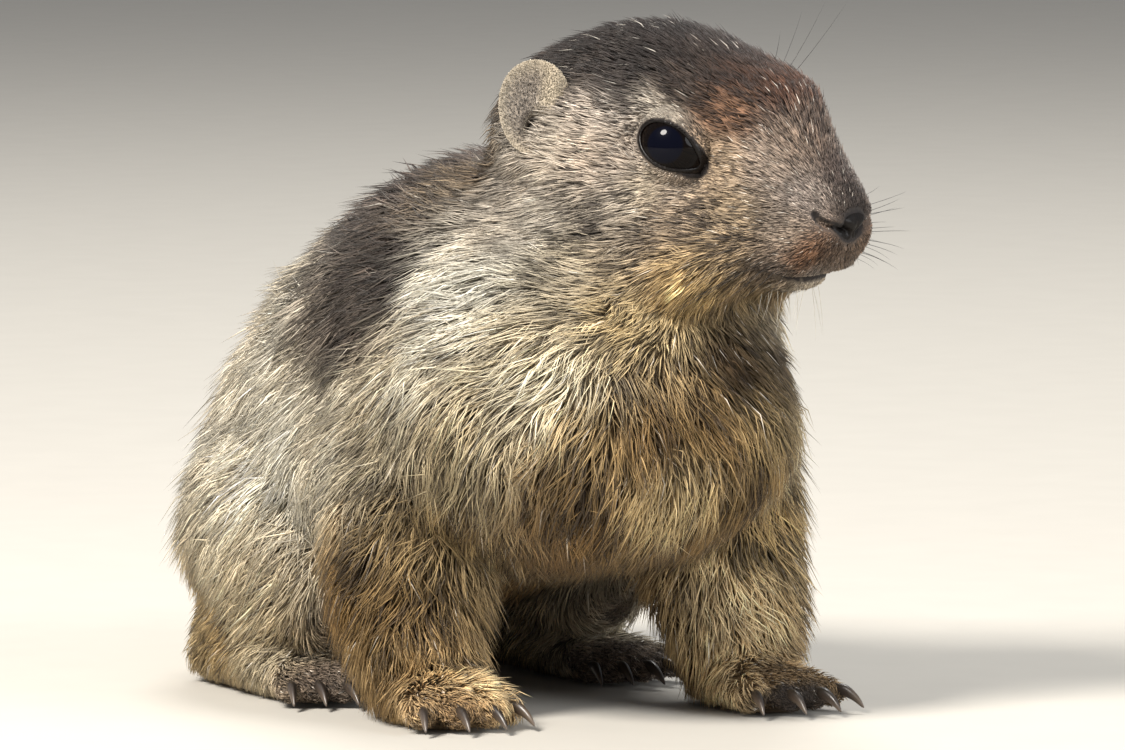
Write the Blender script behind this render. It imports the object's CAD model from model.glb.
"""An alpine marmot pup at life size, up on straight forelegs with its head turned to its left.

The skin is one closed surface. The coat is solid tufts in joined meshes that follow the lie of the hair.
Sizes are millimetres in the animal's own frame until a piece is finished: +X is its left, its chest
points to -Y, +Z is up and the floor is z = 0."""

import math

import bmesh
import bpy
import numpy as np
from bpy.props import FloatProperty, FloatVectorProperty, PointerProperty
from bpy.types import Operator, Panel, PropertyGroup
from mathutils import Matrix, Vector, kdtree
from mathutils.bvhtree import BVHTree


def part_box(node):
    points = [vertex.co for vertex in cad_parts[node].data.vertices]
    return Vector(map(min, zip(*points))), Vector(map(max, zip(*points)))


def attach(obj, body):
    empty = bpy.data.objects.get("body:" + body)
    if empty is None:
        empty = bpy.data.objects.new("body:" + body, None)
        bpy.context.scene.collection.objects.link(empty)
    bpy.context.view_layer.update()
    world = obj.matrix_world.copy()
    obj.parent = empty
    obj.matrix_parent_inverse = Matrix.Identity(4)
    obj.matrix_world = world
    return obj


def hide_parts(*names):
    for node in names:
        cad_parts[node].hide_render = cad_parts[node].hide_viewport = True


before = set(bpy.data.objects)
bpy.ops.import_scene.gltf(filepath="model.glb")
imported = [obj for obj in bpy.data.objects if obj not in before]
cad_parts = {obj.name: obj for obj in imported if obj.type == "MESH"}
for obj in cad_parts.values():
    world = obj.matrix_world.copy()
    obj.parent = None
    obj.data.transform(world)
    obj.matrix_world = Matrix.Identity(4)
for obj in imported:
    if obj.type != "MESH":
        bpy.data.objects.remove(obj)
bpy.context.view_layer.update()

bl_info = {
    "name": "Alpine marmot pup",
    "version": (1, 0, 0),
    "blender": (4, 5, 0),
    "location": "View3D > Sidebar > Marmot",
    "description": "Builds a life-size alpine marmot pup with its coat, eyes, nose, ears, claws and whiskers",
    "category": "Object",
}

MM = 0.001

# Head, in its own frame: the origin is the nose tip, +Y runs back along the head and +Z is its crown.
# A knot is [x, y, z, half width, reach over, reach under].
SKULL = [
    [0, 1.3, -2.4, 0, 0, 0],
    [0, 3, -3.8, 7.8, 6.2, 4.6],
    [0, 7.6, -4.8, 11.2, 12.9, 9.4],
    [0, 14, -3.6, 13.6, 18.4, 13.6],
    [0, 22, -2.5, 15.8, 22.2, 15.6],
    [0, 31, -1, 18.6, 24.2, 19],
    [0, 41, 0, 22, 24.5, 21.5],
    [0, 52, 0, 24, 25, 22],
    [0, 62, 0, 23.5, 21.5, 20.5],
    [0, 71, 1, 18, 15, 15],
    [0, 78, 2, 0, 0, 0],
]
# Smooth swellings and hollows of the left side, mirrored: [x, y, z, reach, rise]
HEAD_FORMS = [
    [8, 9.5, -9.5, 6, 1.2],  # pad of the upper lip
    [14, 20, -4, 7, -1.1],  # behind the pad
    [9, 12.5, 13, 6.5, -0.7],  # side of the bridge
    [8, 20, 20.5, 8.5, 4.0],  # edge of the forehead
    [16, 32, 14, 8, 1.4],  # brow
    [12, 42, 20, 11, 1.7],  # edge of the crown
    [20, 34, 7, 7, -1.4],  # socket of the eye
    [24, 49, -9, 14, 2.4],  # cheek
    [17, 38, -17, 10, 1.2],  # angle of the jaw
    [0, 13, -17, 6, 0.6],  # chin
    [0, 25, 20, 6, -0.8],  # between the brows
]
EYE_SEAT = np.array([13.7, 35, 5.4])
EYE_CENTRE = EYE_SEAT + [0, -1, 1.7]  # where the ball sits under its lids
EYE_LOOK = (0.92, -0.31, 0.2)
EYE_LIFT = 17  # degrees that the back corner stands higher
EAR_SEAT = np.array([23.3, 60.4, 9.9])
EAR_LOOK = (0.8, -0.58, 0.14)
EAR_LIFT = -3
EAR_HOLE = np.array([24, 58.4, 7.0])
EAR_HALF_WIDTH = 6.5
EAR_REACH_UP, EAR_REACH_DOWN = 9, 8.6
NOSE_PAD = ((0, 3.7, -3.0), (4.6, 3.0, 3.4))  # centre and radii
NOSTRIL = [(1.6, 0.2, -4.3), (3.2, 0.6, -3.6), (5, 1.3, -2.8), (7, 2.6, -2.2), (8.4, 3.7, -1.3), (9, 4.4, 0)]
# How deep the creases go that are carved into the skin, and how far the rims beside them stand up
NOSTRIL_DEPTH, WING_RISE = 2.0, 0.5
MOUTH_DEPTH, LIP_RISE = 1.8, 0.35
GROOVE_DEPTH = 0.8
BROW_CREASE_DEPTH = 0.35
EAR_HOLE_DEPTH = 3
# Where the coat begins, as a multiple of the way from the middle of the eye to the rim of its opening
LID_EDGE = 1.14

# The cheek, in the head's frame and mirrored, then trunk, neck and tail in the animal's own
JOWL = [
    [6, 11, -10, 0, 0, 0],
    [9, 18, -10, 8, 8, 6.5],
    [11, 27, -13, 11, 11, 10.5],
    [12, 38, -16, 12, 13, 13],
    [13, 50, -18, 12.5, 14, 15],
    [14, 62, -17, 12, 12, 14],
    [15, 74, -12, 0, 0, 0],
]
TRUNK = [
    [0, -44, 52, 0, 0, 0],
    [0, -38, 53, 28, 22, 17],
    [0, -27, 56, 38, 35, 24],
    [0, -10, 54, 42, 50, 26],
    [0, 10, 50, 43, 58, 27],
    [0, 30, 46, 42, 60, 30],
    [0, 50, 42, 41, 56, 33],
    [0, 70, 37, 38, 50, 31],
    [0, 88, 32, 32, 37, 26],
    [0, 101, 28, 22, 23, 19],
    [0, 110, 26, 0, 0, 0],
]
NECK = [
    [0, 16, 36, 0, 0, 0],
    [2, 7, 58, 33, 34, 28],
    [7, -1, 76, 37, 38, 31],
    [9, -5, 94, 31, 30, 28],
    [11, -8, 108, 22.5, 19.5, 19.5],
    [12, -12, 121, 0, 0, 0],
]
TAIL = [
    [1, 92, 27, 0, 0, 0],
    [2, 103, 22, 12, 12, 12],
    [7, 116, 14, 11.5, 11.5, 12],
    [20, 129, 11, 11, 10.5, 11],
    [40, 134, 10.5, 11, 10, 10.5],
    [58, 129, 9.5, 9, 8.5, 9.5],
    [72, 117, 7.5, 0, 0, 0],
]
PAWS = {
    "foreleg_right": ((-30, 1), -1),
    "foreleg_left": ((35, -7), 1),
    "hindleg_right": ((-32, 44), -1),
    "hindleg_left": ((32, 44), 1),
}
# length, width, height of the sole, length and half width of a toe, fan in degrees, heel, toes
FORE_FOOT = (22, 8.6, 5.4, 12, 2.9, 13, 6, 4)
HIND_FOOT = (46, 8.4, 6.4, 13, 2.8, 9, 35, 5)
# Along a toe: share of its length, height, share of its half width. Along a claw: distance from the front
# of the toe, height, thickness.
TOE_SHAPE = (
    (-0.3, 4, 0),
    (0, 4.4, 0.95),
    (0.3, 4.9, 0.98),
    (0.6, 4.2, 0.86),
    (0.88, 3.2, 0.96),
    (1.1, 2.6, 0),
)
CLAW_SHAPE = ((-1, 3.8, 0), (0.4, 4.1, 1.25), (2.6, 4.2, 1.2), (5, 3.1, 0.85), (7.2, 1.2, 0))

# The coat by place. Each row: place in its frame, softness of its edge, length and half width of a hair
# tuft, rise in degrees, how far tufts draw together, colour at the root and at the tip, share of dark
# hairs, and which way the hair lies. x above 0 is a place on the left that is mirrored to the right.
HEAD_COAT = [
    ((0, 2, 1.5), 2.5, 1.2, 0.09, 13, 0.00, "#231d1a", "#433a35", 0.10, (0, 1, 0.5)),
    ((0, 5, 6), 4, 1.6, 0.09, 14, 0.00, "#292220", "#4d423d", 0.14, (0, 1, 0.5)),
    ((9, 6, 3), 3, 1.8, 0.10, 15, 0.00, "#574d47", "#92877f", 0.10, (0.2, 1, 0.2)),
    ((11, 8, -4), 3, 2.0, 0.10, 16, 0.10, "#61554c", "#998b7d", 0.16, (0.2, 1, -0.1)),
    ((9, 4, -8), 3, 1.9, 0.10, 18, 0.10, "#4a3224", "#8a674d", 0.20, (0.2, 1, -0.3)),
    ((6, 3, -12), 1.8, 1.6, 0.09, 16, 0.00, "#59514b", "#9f978e", 0.12, (0.3, 1, -0.05)),
    ((5, 2, -9.5), 2.5, 1.5, 0.10, 18, 0.00, "#35291f", "#6b5a4c", 0.20, (0.5, 1, -0.5)),
    ((10, 10, -12), 2.5, 2.2, 0.10, 18, 0.10, "#3d352e", "#73675d", 0.24, (0.1, 1, -0.2)),
    ((0, 10, -16), 3, 2.8, 0.11, 20, 0.25, "#8a7c6c", "#d1c5b2", 0.05, (0, 1, -0.3)),
    ((0, 17, -19), 5, 6.0, 0.13, 24, 0.45, "#675030", "#a0895f", 0.05, (0, 1, -0.4)),
    ((0, 12, 14), 3.5, 2.6, 0.10, 16, 0.25, "#3e332c", "#6e5e53", 0.30, (0, 1, 0.3)),
    ((7, 12, 13), 3.5, 2.6, 0.10, 16, 0.25, "#4f4239", "#89786a", 0.24, (0, 1, 0.3)),
    ((12, 13, 8), 3.5, 2.6, 0.11, 15, 0.25, "#685a50", "#a49587", 0.12, (0.1, 1, 0.2)),
    ((4, 17, 18), 4, 3.4, 0.12, 18, 0.45, "#1b120d", "#4e3122", 0.42, (0, 1, 0.1)),
    ((9, 23, 20), 4, 3.8, 0.12, 18, 0.45, "#17100c", "#432c20", 0.46, (0, 1, 0.1)),
    ((12, 22, 15.5), 3.5, 3.4, 0.12, 17, 0.45, "#443124", "#89674f", 0.34, (0.1, 1, 0.1)),
    ((10, 32, 22.5), 5, 4.6, 0.12, 17, 0.50, "#130f0f", "#2f2622", 0.48, (0, 1, 0)),
    ((15, 33, 18.5), 3, 3.8, 0.12, 17, 0.45, "#201a17", "#493d35", 0.44, (0, 1, 0)),
    ((0, 30, 23), 6, 4.6, 0.12, 17, 0.50, "#120f0f", "#2d221e", 0.48, (0, 1, 0)),
    ((14, 41, 21.5), 6, 5.2, 0.13, 17, 0.55, "#100f0e", "#2a2422", 0.52, (0.1, 1, -0.1)),
    ((0, 44, 25), 8, 5.4, 0.13, 17, 0.55, "#0f0e0e", "#272221", 0.52, (0, 1, 0)),
    ((18, 47, 18), 3.5, 5.0, 0.13, 17, 0.55, "#211d1a", "#4a413c", 0.46, (0.1, 1, -0.1)),
    ((14, 57, 21), 7, 6.0, 0.14, 18, 0.55, "#110f0f", "#2d2623", 0.50, (0.1, 1, -0.1)),
    ((0, 60, 23), 8, 7.0, 0.15, 18, 0.55, "#0f0e0e", "#282221", 0.52, (0, 1, -0.2)),
    ((18.5, 34.5, 14.5), 1.6, 2.4, 0.10, 13, 0.10, "#7f7468", "#c6bbab", 0.05, (0.3, 1, 0.4)),
    ((19.5, 29, 0.5), 2.2, 2.6, 0.10, 13, 0.25, "#75675d", "#b1a291", 0.10, (0.2, 1, -0.4)),
    ((21, 33.5, -1), 1.4, 2.4, 0.10, 13, 0.10, "#877866", "#cdbea8", 0.06, (0.2, 1, -0.4)),
    ((15, 22, 6), 3, 2.8, 0.11, 14, 0.25, "#6c5c4c", "#ac9982", 0.14, (0.3, 1, 0.1)),
    ((21, 42, 4), 4, 3.8, 0.12, 17, 0.45, "#75685d", "#b4a697", 0.16, (0.2, 1, 0)),
    ((22, 47, 11), 4, 4.4, 0.13, 18, 0.50, "#82756a", "#cfc2b4", 0.20, (0.1, 1, -0.1)),
    ((14, 18, -4), 4, 3.2, 0.12, 16, 0.45, "#655645", "#9f8c73", 0.34, (0.2, 1, -0.1)),
    ((13, 22, -12), 4, 4.2, 0.12, 17, 0.45, "#685843", "#a89272", 0.28, (0.2, 1, -0.3)),
    ((17, 27, -5), 4, 4.0, 0.12, 17, 0.50, "#5b4e42", "#a3927e", 0.38, (0.1, 1, -0.25)),
    ((21, 38, -8), 5, 5.4, 0.13, 18, 0.55, "#5a5047", "#a89e90", 0.38, (0, 1, -0.4)),
    ((26, 40, -16), 5, 7.5, 0.12, 21, 0.55, "#5f5446", "#b6ab96", 0.26, (0, 0.85, -0.65)),
    ((27, 56, -11), 6, 7.5, 0.12, 20, 0.55, "#7e7569", "#ccc5b9", 0.14, (0, 0.75, -0.8)),
    ((17, 22, -16), 4, 7, 0.13, 22, 0.55, "#8a6f47", "#dbbd88", 0.10, (0.1, 0.75, -0.65)),
    ((21, 34, -24), 5, 9.5, 0.14, 21, 0.55, "#836f4e", "#dcc89c", 0.12, (0.1, 0.7, -0.75)),
    ((25, 48, -28), 6, 11, 0.14, 21, 0.55, "#8b7e67", "#e8dec6", 0.12, (0.1, 0.55, -0.9)),
    ((0, 16, -27), 5, 7, 0.13, 20, 0.55, "#140e07", "#2f2010", 0.10, (0, 0.3, -1)),
    ((10, 20, -29), 5, 8, 0.15, 22, 0.55, "#1a120a", "#3f2d17", 0.10, (0, 0.3, -1)),
    ((5, 34, -32), 5, 8, 0.15, 22, 0.55, "#1e150b", "#46321b", 0.10, (0, 0.4, -0.9)),
    ((42, 38, -32), 7, 14, 0.15, 24, 0.60, "#8a7b60", "#ece0c4", 0.12, (0.3, 0.45, -0.85)),
    ((39, 59, -24), 6, 13, 0.15, 21, 0.60, "#aa9f8a", "#f6f0e0", 0.07, (0.1, 0.6, -0.8)),
    ((25, 53, 6), 3.5, 5.5, 0.11, 22, 0.45, "#857a6e", "#d5cabb", 0.12, (0.2, 1, 0.05)),
    ((24, 61, -4), 5, 6.5, 0.12, 20, 0.55, "#70665c", "#b7aea2", 0.16, (0, 0.8, -0.6)),
    ((17, 76, -5), 6, 9.0, 0.17, 22, 0.60, "#463b32", "#8b7b66", 0.35, (0, 0.9, -0.5)),
    ((0, 72, 12), 7, 8.5, 0.17, 22, 0.60, "#2b2422", "#5c514b", 0.45, (0, 1, -0.5)),
]
BODY_COAT = [
    ((29, -16, 85), 5, 13, 0.15, 20, 0.45, "#ada28d", "#f8f2e2", 0.06, (0.3, 0.7, -0.7)),
    ((34, -12, 74), 7, 15, 0.15, 22, 0.5, "#9a8d76", "#efe5cf", 0.12, (0.35, 0.6, -0.75)),
    ((17, -44, 62), 6, 14, 0.15, 25, 0.45, "#4f3c24", "#c6ab7a", 0.24, (0.3, 0.05, -0.95)),
    ((6, -44, 62), 5, 13, 0.15, 25, 0.45, "#3c2a17", "#987b4e", 0.26, (0.15, 0, -1)),
    ((-2, -47, 49), 6, 14, 0.16, 26, 0.45, "#94764a", "#fbe3b0", 0.08, (0, -0.05, -1)),
    ((19, -41, 50), 6, 14, 0.16, 26, 0.45, "#342615", "#896f46", 0.32, (0.15, -0.05, -1)),
    ((33, -24, 55), 8, 15, 0.16, 24, 0.5, "#4f412c", "#d2c19c", 0.28, (0.4, 0.35, -0.9)),
    ((12, -38, 42), 6, 13, 0.16, 34, 0.5, "#322415", "#977a4d", 0.30, (0.1, 0, -1)),
    ((16, -28, 34), 7, 12, 0.17, 38, 0.5, "#37271a", "#8f7248", 0.28, (0.1, 0.05, -1)),
    ((37, -8, 60), 8, 15, 0.17, 22, 0.5, "#655947", "#ccc1a8", 0.24, (0.35, 0.55, -0.8)),
    ((15, 5, 103), 6, 11, 0.17, 20, 0.5, "#3f352d", "#83745f", 0.35, (0.1, 0.9, -0.4)),
    ((14, 29, 97), 9, 14, 0.18, 19, 0.5, "#2d2725", "#6b5f57", 0.46, (0.05, 0.95, -0.35)),
    ((0, 14, 105), 8, 13, 0.18, 19, 0.5, "#2c2624", "#625751", 0.46, (0, 1, -0.2)),
    ((30, 14, 88), 7, 14, 0.16, 20, 0.45, "#262120", "#5b514a", 0.50, (0.15, 0.75, -0.65)),
    ((33, -11, 77), 4.5, 14, 0.16, 20, 0.40, "#a0957f", "#f4ead5", 0.10, (0.2, 0.7, -0.7)),
    ((41, 10, 63), 4.5, 14, 0.16, 21, 0.40, "#a49983", "#efe6d2", 0.12, (0.2, 0.6, -0.75)),
    ((32, 2, 84), 5, 14, 0.16, 19, 0.40, "#262120", "#584e47", 0.50, (0.15, 0.7, -0.7)),
    ((36, 13, 77), 5, 14, 0.16, 19, 0.40, "#29231f", "#615750", 0.48, (0.15, 0.65, -0.75)),
    ((37, 26, 78), 4, 15, 0.17, 20, 0.40, "#37302b", "#7b7065", 0.42, (0.15, 0.6, -0.75)),
    ((38, 30, 64), 7, 15, 0.17, 21, 0.40, "#b4a890", "#f5eddb", 0.07, (0.15, 0.6, -0.8)),
    ((41, 42, 50), 9, 15, 0.17, 21, 0.40, "#c0b49b", "#f8f0de", 0.04, (0.15, 0.5, -0.85)),
    ((31, 68, 62), 10, 15, 0.17, 21, 0.40, "#a29682", "#dad2c0", 0.06, (0.05, 0.55, -0.85)),
    ((18, 66, 80), 9, 14, 0.17, 21, 0.45, "#8a8172", "#d6ccb8", 0.16, (0, 0.75, -0.65)),
    ((0, 52, 95), 8, 14, 0.18, 19, 0.5, "#4a413c", "#92877b", 0.32, (0, 0.95, -0.35)),
    ((0, 90, 70), 9, 15, 0.19, 20, 0.5, "#756b60", "#beb4a4", 0.18, (0, 0.7, -0.7)),
    ((18, 98, 45), 9, 15, 0.19, 20, 0.5, "#8d8168", "#d8ccb4", 0.12, (0, 0.5, -0.85)),
    ((43, 46, 39), 8, 15, 0.18, 20, 0.45, "#b0a288", "#efe3c9", 0.07, (0.1, 0.5, -0.85)),
    ((41, 46, 20), 6, 12, 0.17, 20, 0.45, "#9a8a6e", "#e2d3b3", 0.10, (0.1, 0.5, -0.85)),
    ((36, 60, 14), 5, 7, 0.17, 18, 0.4, "#7a6546", "#b8a175", 0.12, (0.1, 0.6, -0.7)),
    ((32, 26, 8), 5, 2.6, 0.13, 14, 0.1, "#473c34", "#7c6e60", 0.15, (0, -1, 0)),
    ((0, 22, 22), 10, 10, 0.18, 16, 0.4, "#6b5434", "#ac8b5b", 0.10, (0, 0.9, -0.2)),
    ((34, -14, 44), 7, 13, 0.16, 24, 0.45, "#4b3a24", "#c2a878", 0.30, (0.3, 0.1, -0.95)),
    ((27, -22, 25), 5, 13, 0.16, 31, 0.45, "#a98c60", "#fde6bb", 0.04, (0.15, 0, -1)),
    ((27, -18, 11), 4.5, 9, 0.15, 33, 0.3, "#a58558", "#f7dcab", 0.04, (0, -0.2, -1)),
    ((33, 3, 28), 6, 12, 0.16, 28, 0.45, "#443219", "#8d7145", 0.32, (0.3, 0.1, -0.95)),
    ((32, -1, 11), 5, 8, 0.15, 32, 0.3, "#5a4630", "#a98e62", 0.14, (0, -0.2, -1)),
    ((33, -20, 7), 3.0, 2.8, 0.12, 16, 0.1, "#5b4832", "#a58760", 0.12, (0, -1, -0.2)),
    ((33, -31, 4.5), 4, 1.5, 0.10, 12, 0.0, "#231d1a", "#433a34", 0.15, (0, -1, -0.2)),
]
TAIL_COAT = [
    ((2, 104, 22), 7, 13, 0.20, 20, 0.6, "#5d4c3a", "#a58f6d", 0.2),
    ((12, 123, 12), 8, 14, 0.20, 22, 0.6, "#4f4032", "#947f5d", 0.3),
    ((42, 134, 10), 8, 14, 0.20, 22, 0.6, "#43362b", "#7d6a4e", 0.4),
    ((66, 123, 9), 8, 13, 0.20, 22, 0.7, "#2b2421", "#4b4038", 0.5),
]
DARK_HAIR = "#2b2321"
SILVER_HAIR = "#cfc8bd"
TUFT_STEPS = 2  # lengths of a tuft from root to tip
TUFT_BEND = 0.85  # below 1 a tuft lifts first and then lies along the skin
TUFT_FLAT = 0.55  # height of a tuft's section to its width
GROUND_GAP = 1.2  # nothing grows lower on the soles

# Lamps: name, place and size in metres, share of the key light's power, colour
LAMPS = (
    ("key_light", (-1.14, -0.42, 1.15), 0.5, 1.0, (1.0, 0.95, 0.88)),
    ("fill_light", (0.8, -1.4, 0.6), 1.2, 0.46, (0.96, 0.98, 1.0)),
    ("rim_light", (0.5, 0.9, 1.7), 0.8, 0.45, (1.0, 0.98, 0.94)),
)
LAMPS_AIM = (0.0, 0.0, 0.07)
PHOTO_WIDTH = 0.2123  # metres across the photograph at the animal
PHOTO_CENTRE = (0.41, -0.23, 63.9)
SENSOR = 36  # millimetres


# Colours and materials


def linear(code):
    """An sRGB hex colour as linear RGBA."""
    parts = [int(code[i : i + 2], 16) / 255 for i in (1, 3, 5)]
    return [c / 12.92 if c <= 0.04045 else ((c + 0.055) / 1.055) ** 2.4 for c in parts] + [1.0]


def node(tree, kind, links=None, **settings):
    """Adds a node: settings are its properties, links its inputs by name, a value or another's output."""
    made = tree.nodes.new(kind)
    for name, value in settings.items():
        setattr(made, name, value)
    for name, value in (links or {}).items():
        if isinstance(value, bpy.types.NodeSocket):
            tree.links.new(value, made.inputs[name])
        else:
            made.inputs[name].default_value = value
    return made


def material(name, settings):
    """A new material, its tree and its shader with settings on the shader's own sockets."""
    made = bpy.data.materials.new(name)
    made.use_nodes = True
    shader = made.node_tree.nodes["Principled BSDF"]
    for key, value in settings.items():
        shader.inputs[key].default_value = value
    return made, made.node_tree, shader


def ramp(tree, factor, stops):
    """A colour ramp of (place, colour) stops."""
    made = node(tree, "ShaderNodeValToRGB", {"Fac": factor})
    points = made.color_ramp.elements
    points[0].position, points[0].color = stops[0][0], stops[0][1]
    points[1].position, points[1].color = stops[-1][0], stops[-1][1]
    for place, colour in stops[1:-1]:
        points.new(place).color = colour
    return made.outputs["Color"]


def grey(value):
    return [value, value, value, 1.0]


def noise(tree, scale, detail=2.0, roughness=0.5):
    """A noise in the object's own space, with about scale waves to a metre."""
    place = node(tree, "ShaderNodeTexCoord").outputs["Object"]
    inputs = {"Vector": place, "Scale": scale, "Detail": detail, "Roughness": roughness}
    return node(tree, "ShaderNodeTexNoise", inputs).outputs["Fac"]


def spread(tree, grain, low, high):
    """Colours from low to high over the values that a noise mostly has."""
    return ramp(tree, grain, [(0.3, low), (0.7, high)])


def mixed(tree, factor, first, second, **settings):
    """A mix of two colours, each a value or another node's output."""
    sockets = {0: factor, 6: first, 7: second}
    return node(tree, "ShaderNodeMix", sockets, data_type="RGBA", **settings).outputs[2]


def coloured(tree, shader, colour):
    tree.links.new(colour, shader.inputs["Base Color"])


def worn(tree, shader, grain, low, high):
    """Roughness that wanders between low and high with a noise."""
    tree.links.new(spread(tree, grain, grey(low), grey(high)), shader.inputs["Roughness"])


def bumped(tree, shader, height, strength, distance):
    made = node(tree, "ShaderNodeBump", {"Height": height, "Strength": strength, "Distance": distance * MM})
    tree.links.new(made.outputs["Normal"], shader.inputs["Normal"])


def coat_colour(tree, shade):
    """The colour that each vertex of the coat or skin carries, times a shade."""
    tint = node(tree, "ShaderNodeAttribute", attribute_name="coat_colour").outputs["Color"]
    return mixed(tree, 1.0, tint, shade, blend_type="MULTIPLY", clamp_factor=False)


# Hair: keratin, grown. Each tuft carries its own colour from root to tip, softly glossy along its length.
def hair_material():
    made, tree, shader = material(
        "marmot_hair",
        {"IOR": 1.55, "Specular IOR Level": 0.28, "Sheen Weight": 0.03, "Sheen Roughness": 0.5},
    )
    # soil and wear vary the coat over about 12 mm
    patches = noise(tree, 80.0, 3.0, 0.6)
    coloured(tree, shader, coat_colour(tree, spread(tree, patches, grey(0.86), grey(1.08))))
    worn(tree, shader, patches, 0.46, 0.62)
    return made


# Skin under the coat: dry, with underfur too fine to build, drawn as streaks under 1 mm apart.
def skin_material():
    made, tree, shader = material("marmot_underfur", {"Roughness": 0.85, "IOR": 1.45, "Sheen Weight": 0.03})
    streaks = noise(tree, 1400.0, 3.0, 0.7)
    coloured(tree, shader, coat_colour(tree, spread(tree, streaks, grey(0.6), grey(1.15))))
    bumped(tree, shader, streaks, 0.6, 0.4)
    return made


# Eye: a smooth wet cornea over a dark pupil and a brown-black iris. The attribute across runs outward from
# the pupil's middle, and turn round it.
def eye_material():
    made, tree, shader = material(
        "marmot_eye",
        {
            "Roughness": 0.3,
            "IOR": 1.3,
            "Specular IOR Level": 0.02,
            "Coat Weight": 0.3,
            "Coat Roughness": 0.02,
            "Coat IOR": 1.376,
        },
    )
    across = node(tree, "ShaderNodeAttribute", attribute_name="across").outputs["Fac"]
    turn = node(tree, "ShaderNodeAttribute", attribute_name="turn").outputs["Fac"]
    rays = node(tree, "ShaderNodeTexNoise", {"W": turn, "Scale": 9.0, "Detail": 4.0}, noise_dimensions="1D")
    iris = spread(tree, rays.outputs["Fac"], linear("#050303"), linear("#0c0705"))
    past_pupil = ramp(tree, across, [(0.40, grey(0.0)), (0.46, grey(1.0))])
    past_iris = ramp(tree, across, [(0.74, grey(0.0)), (0.82, grey(1.0))])
    middle = mixed(tree, past_pupil, linear("#04050f"), iris)
    coloured(tree, shader, mixed(tree, past_iris, middle, linear("#0d0908")))
    return made


# Bare skin of lids and nose: dark and pebbled about 0.35 mm across, moist so that it shines.
def leather_material(name, dark, light, roughness, coat):
    made, tree, shader = material(
        name, {"IOR": 1.45, "Specular IOR Level": 0.15, "Coat Weight": coat, "Coat Roughness": 0.15}
    )
    place = node(tree, "ShaderNodeTexCoord").outputs["Object"]
    pebbles = node(tree, "ShaderNodeTexVoronoi", {"Vector": place, "Scale": 2800.0}).outputs["Distance"]
    clouds = noise(tree, 500.0, 3.0)
    coloured(tree, shader, ramp(tree, clouds, [(0.3, linear(dark)), (0.75, linear(light))]))
    worn(tree, shader, clouds, roughness - 0.08, roughness + 0.1)
    bumped(tree, shader, pebbles, 0.5, 0.12)
    return made


# Claw: horn in layers, dark at the root and worn paler and scratched at the tip.
def claw_material():
    horn = {"IOR": 1.54, "Coat Weight": 0.2, "Coat Roughness": 0.3}
    made, tree, shader = material("marmot_claw_horn", horn)
    along = node(tree, "ShaderNodeAttribute", attribute_name="along").outputs["Fac"]
    layers = [(0.0, linear("#1f1a17")), (0.6, linear("#3a312a")), (1.0, linear("#564a3f"))]
    coloured(tree, shader, ramp(tree, along, layers))
    scratches = noise(tree, 1500.0)
    worn(tree, shader, scratches, 0.3, 0.48)
    bumped(tree, shader, scratches, 0.25, 0.05)
    return made


# Whiskers and chin hairs: stiff solid hairs of one colour, glossy.
def whisker_material(name, code):
    made, tree, shader = material(name, {"IOR": 1.55})
    grain = noise(tree, 300.0)
    base = linear(code)
    coloured(tree, shader, spread(tree, grain, [c * 0.8 for c in base[:3]] + [1.0], base))
    worn(tree, shader, grain, 0.28, 0.42)
    return made


# Shapes


def spline(knots, at):
    """Points at shares of a centripetal Catmull-Rom curve through knots."""
    knots = np.asarray(knots, float)
    last = len(knots) - 1
    place = np.clip(at, 0, 1) * last
    start = np.minimum(place.astype(int), last - 1)
    share = (place - start)[:, None]
    ends = np.vstack([2 * knots[0] - knots[1], knots, 2 * knots[-1] - knots[-2]])
    p0, p1, p2, p3 = (ends[start + k] for k in range(4))
    gaps = (p1 - p0, p2 - p1, p3 - p2)
    d0, d1, d2 = (np.sqrt(np.maximum(np.linalg.norm(gap, axis=1), 1e-8))[:, None] for gap in gaps)
    leave = ((p1 - p0) / d0 - (p2 - p0) / (d0 + d1) + (p2 - p1) / d1) * d1
    reach = ((p2 - p1) / d1 - (p3 - p1) / (d1 + d2) + (p3 - p2) / d2) * d1
    s2, s3 = share**2, share**3
    made = (2 * s3 - 3 * s2 + 1) * p1 + (s3 - 2 * s2 + share) * leave
    return made + (3 * s2 - 2 * s3) * p2 + (s3 - s2) * reach


def rgb(code):
    """An sRGB hex colour as three linear numbers."""
    return np.array(linear(code)[:3])


def unit(rows):
    return rows / np.maximum(np.linalg.norm(rows, axis=-1, keepdims=True), 1e-12)


def smoothstep(low, high, x):
    t = np.clip((x - low) / (high - low), 0, 1)
    return t * t * (3 - 2 * t)


def points_of(verts):
    return np.array([v.co for v in verts])


def move(verts, points):
    for v, p in zip(verts, points):
        v.co = p


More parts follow.
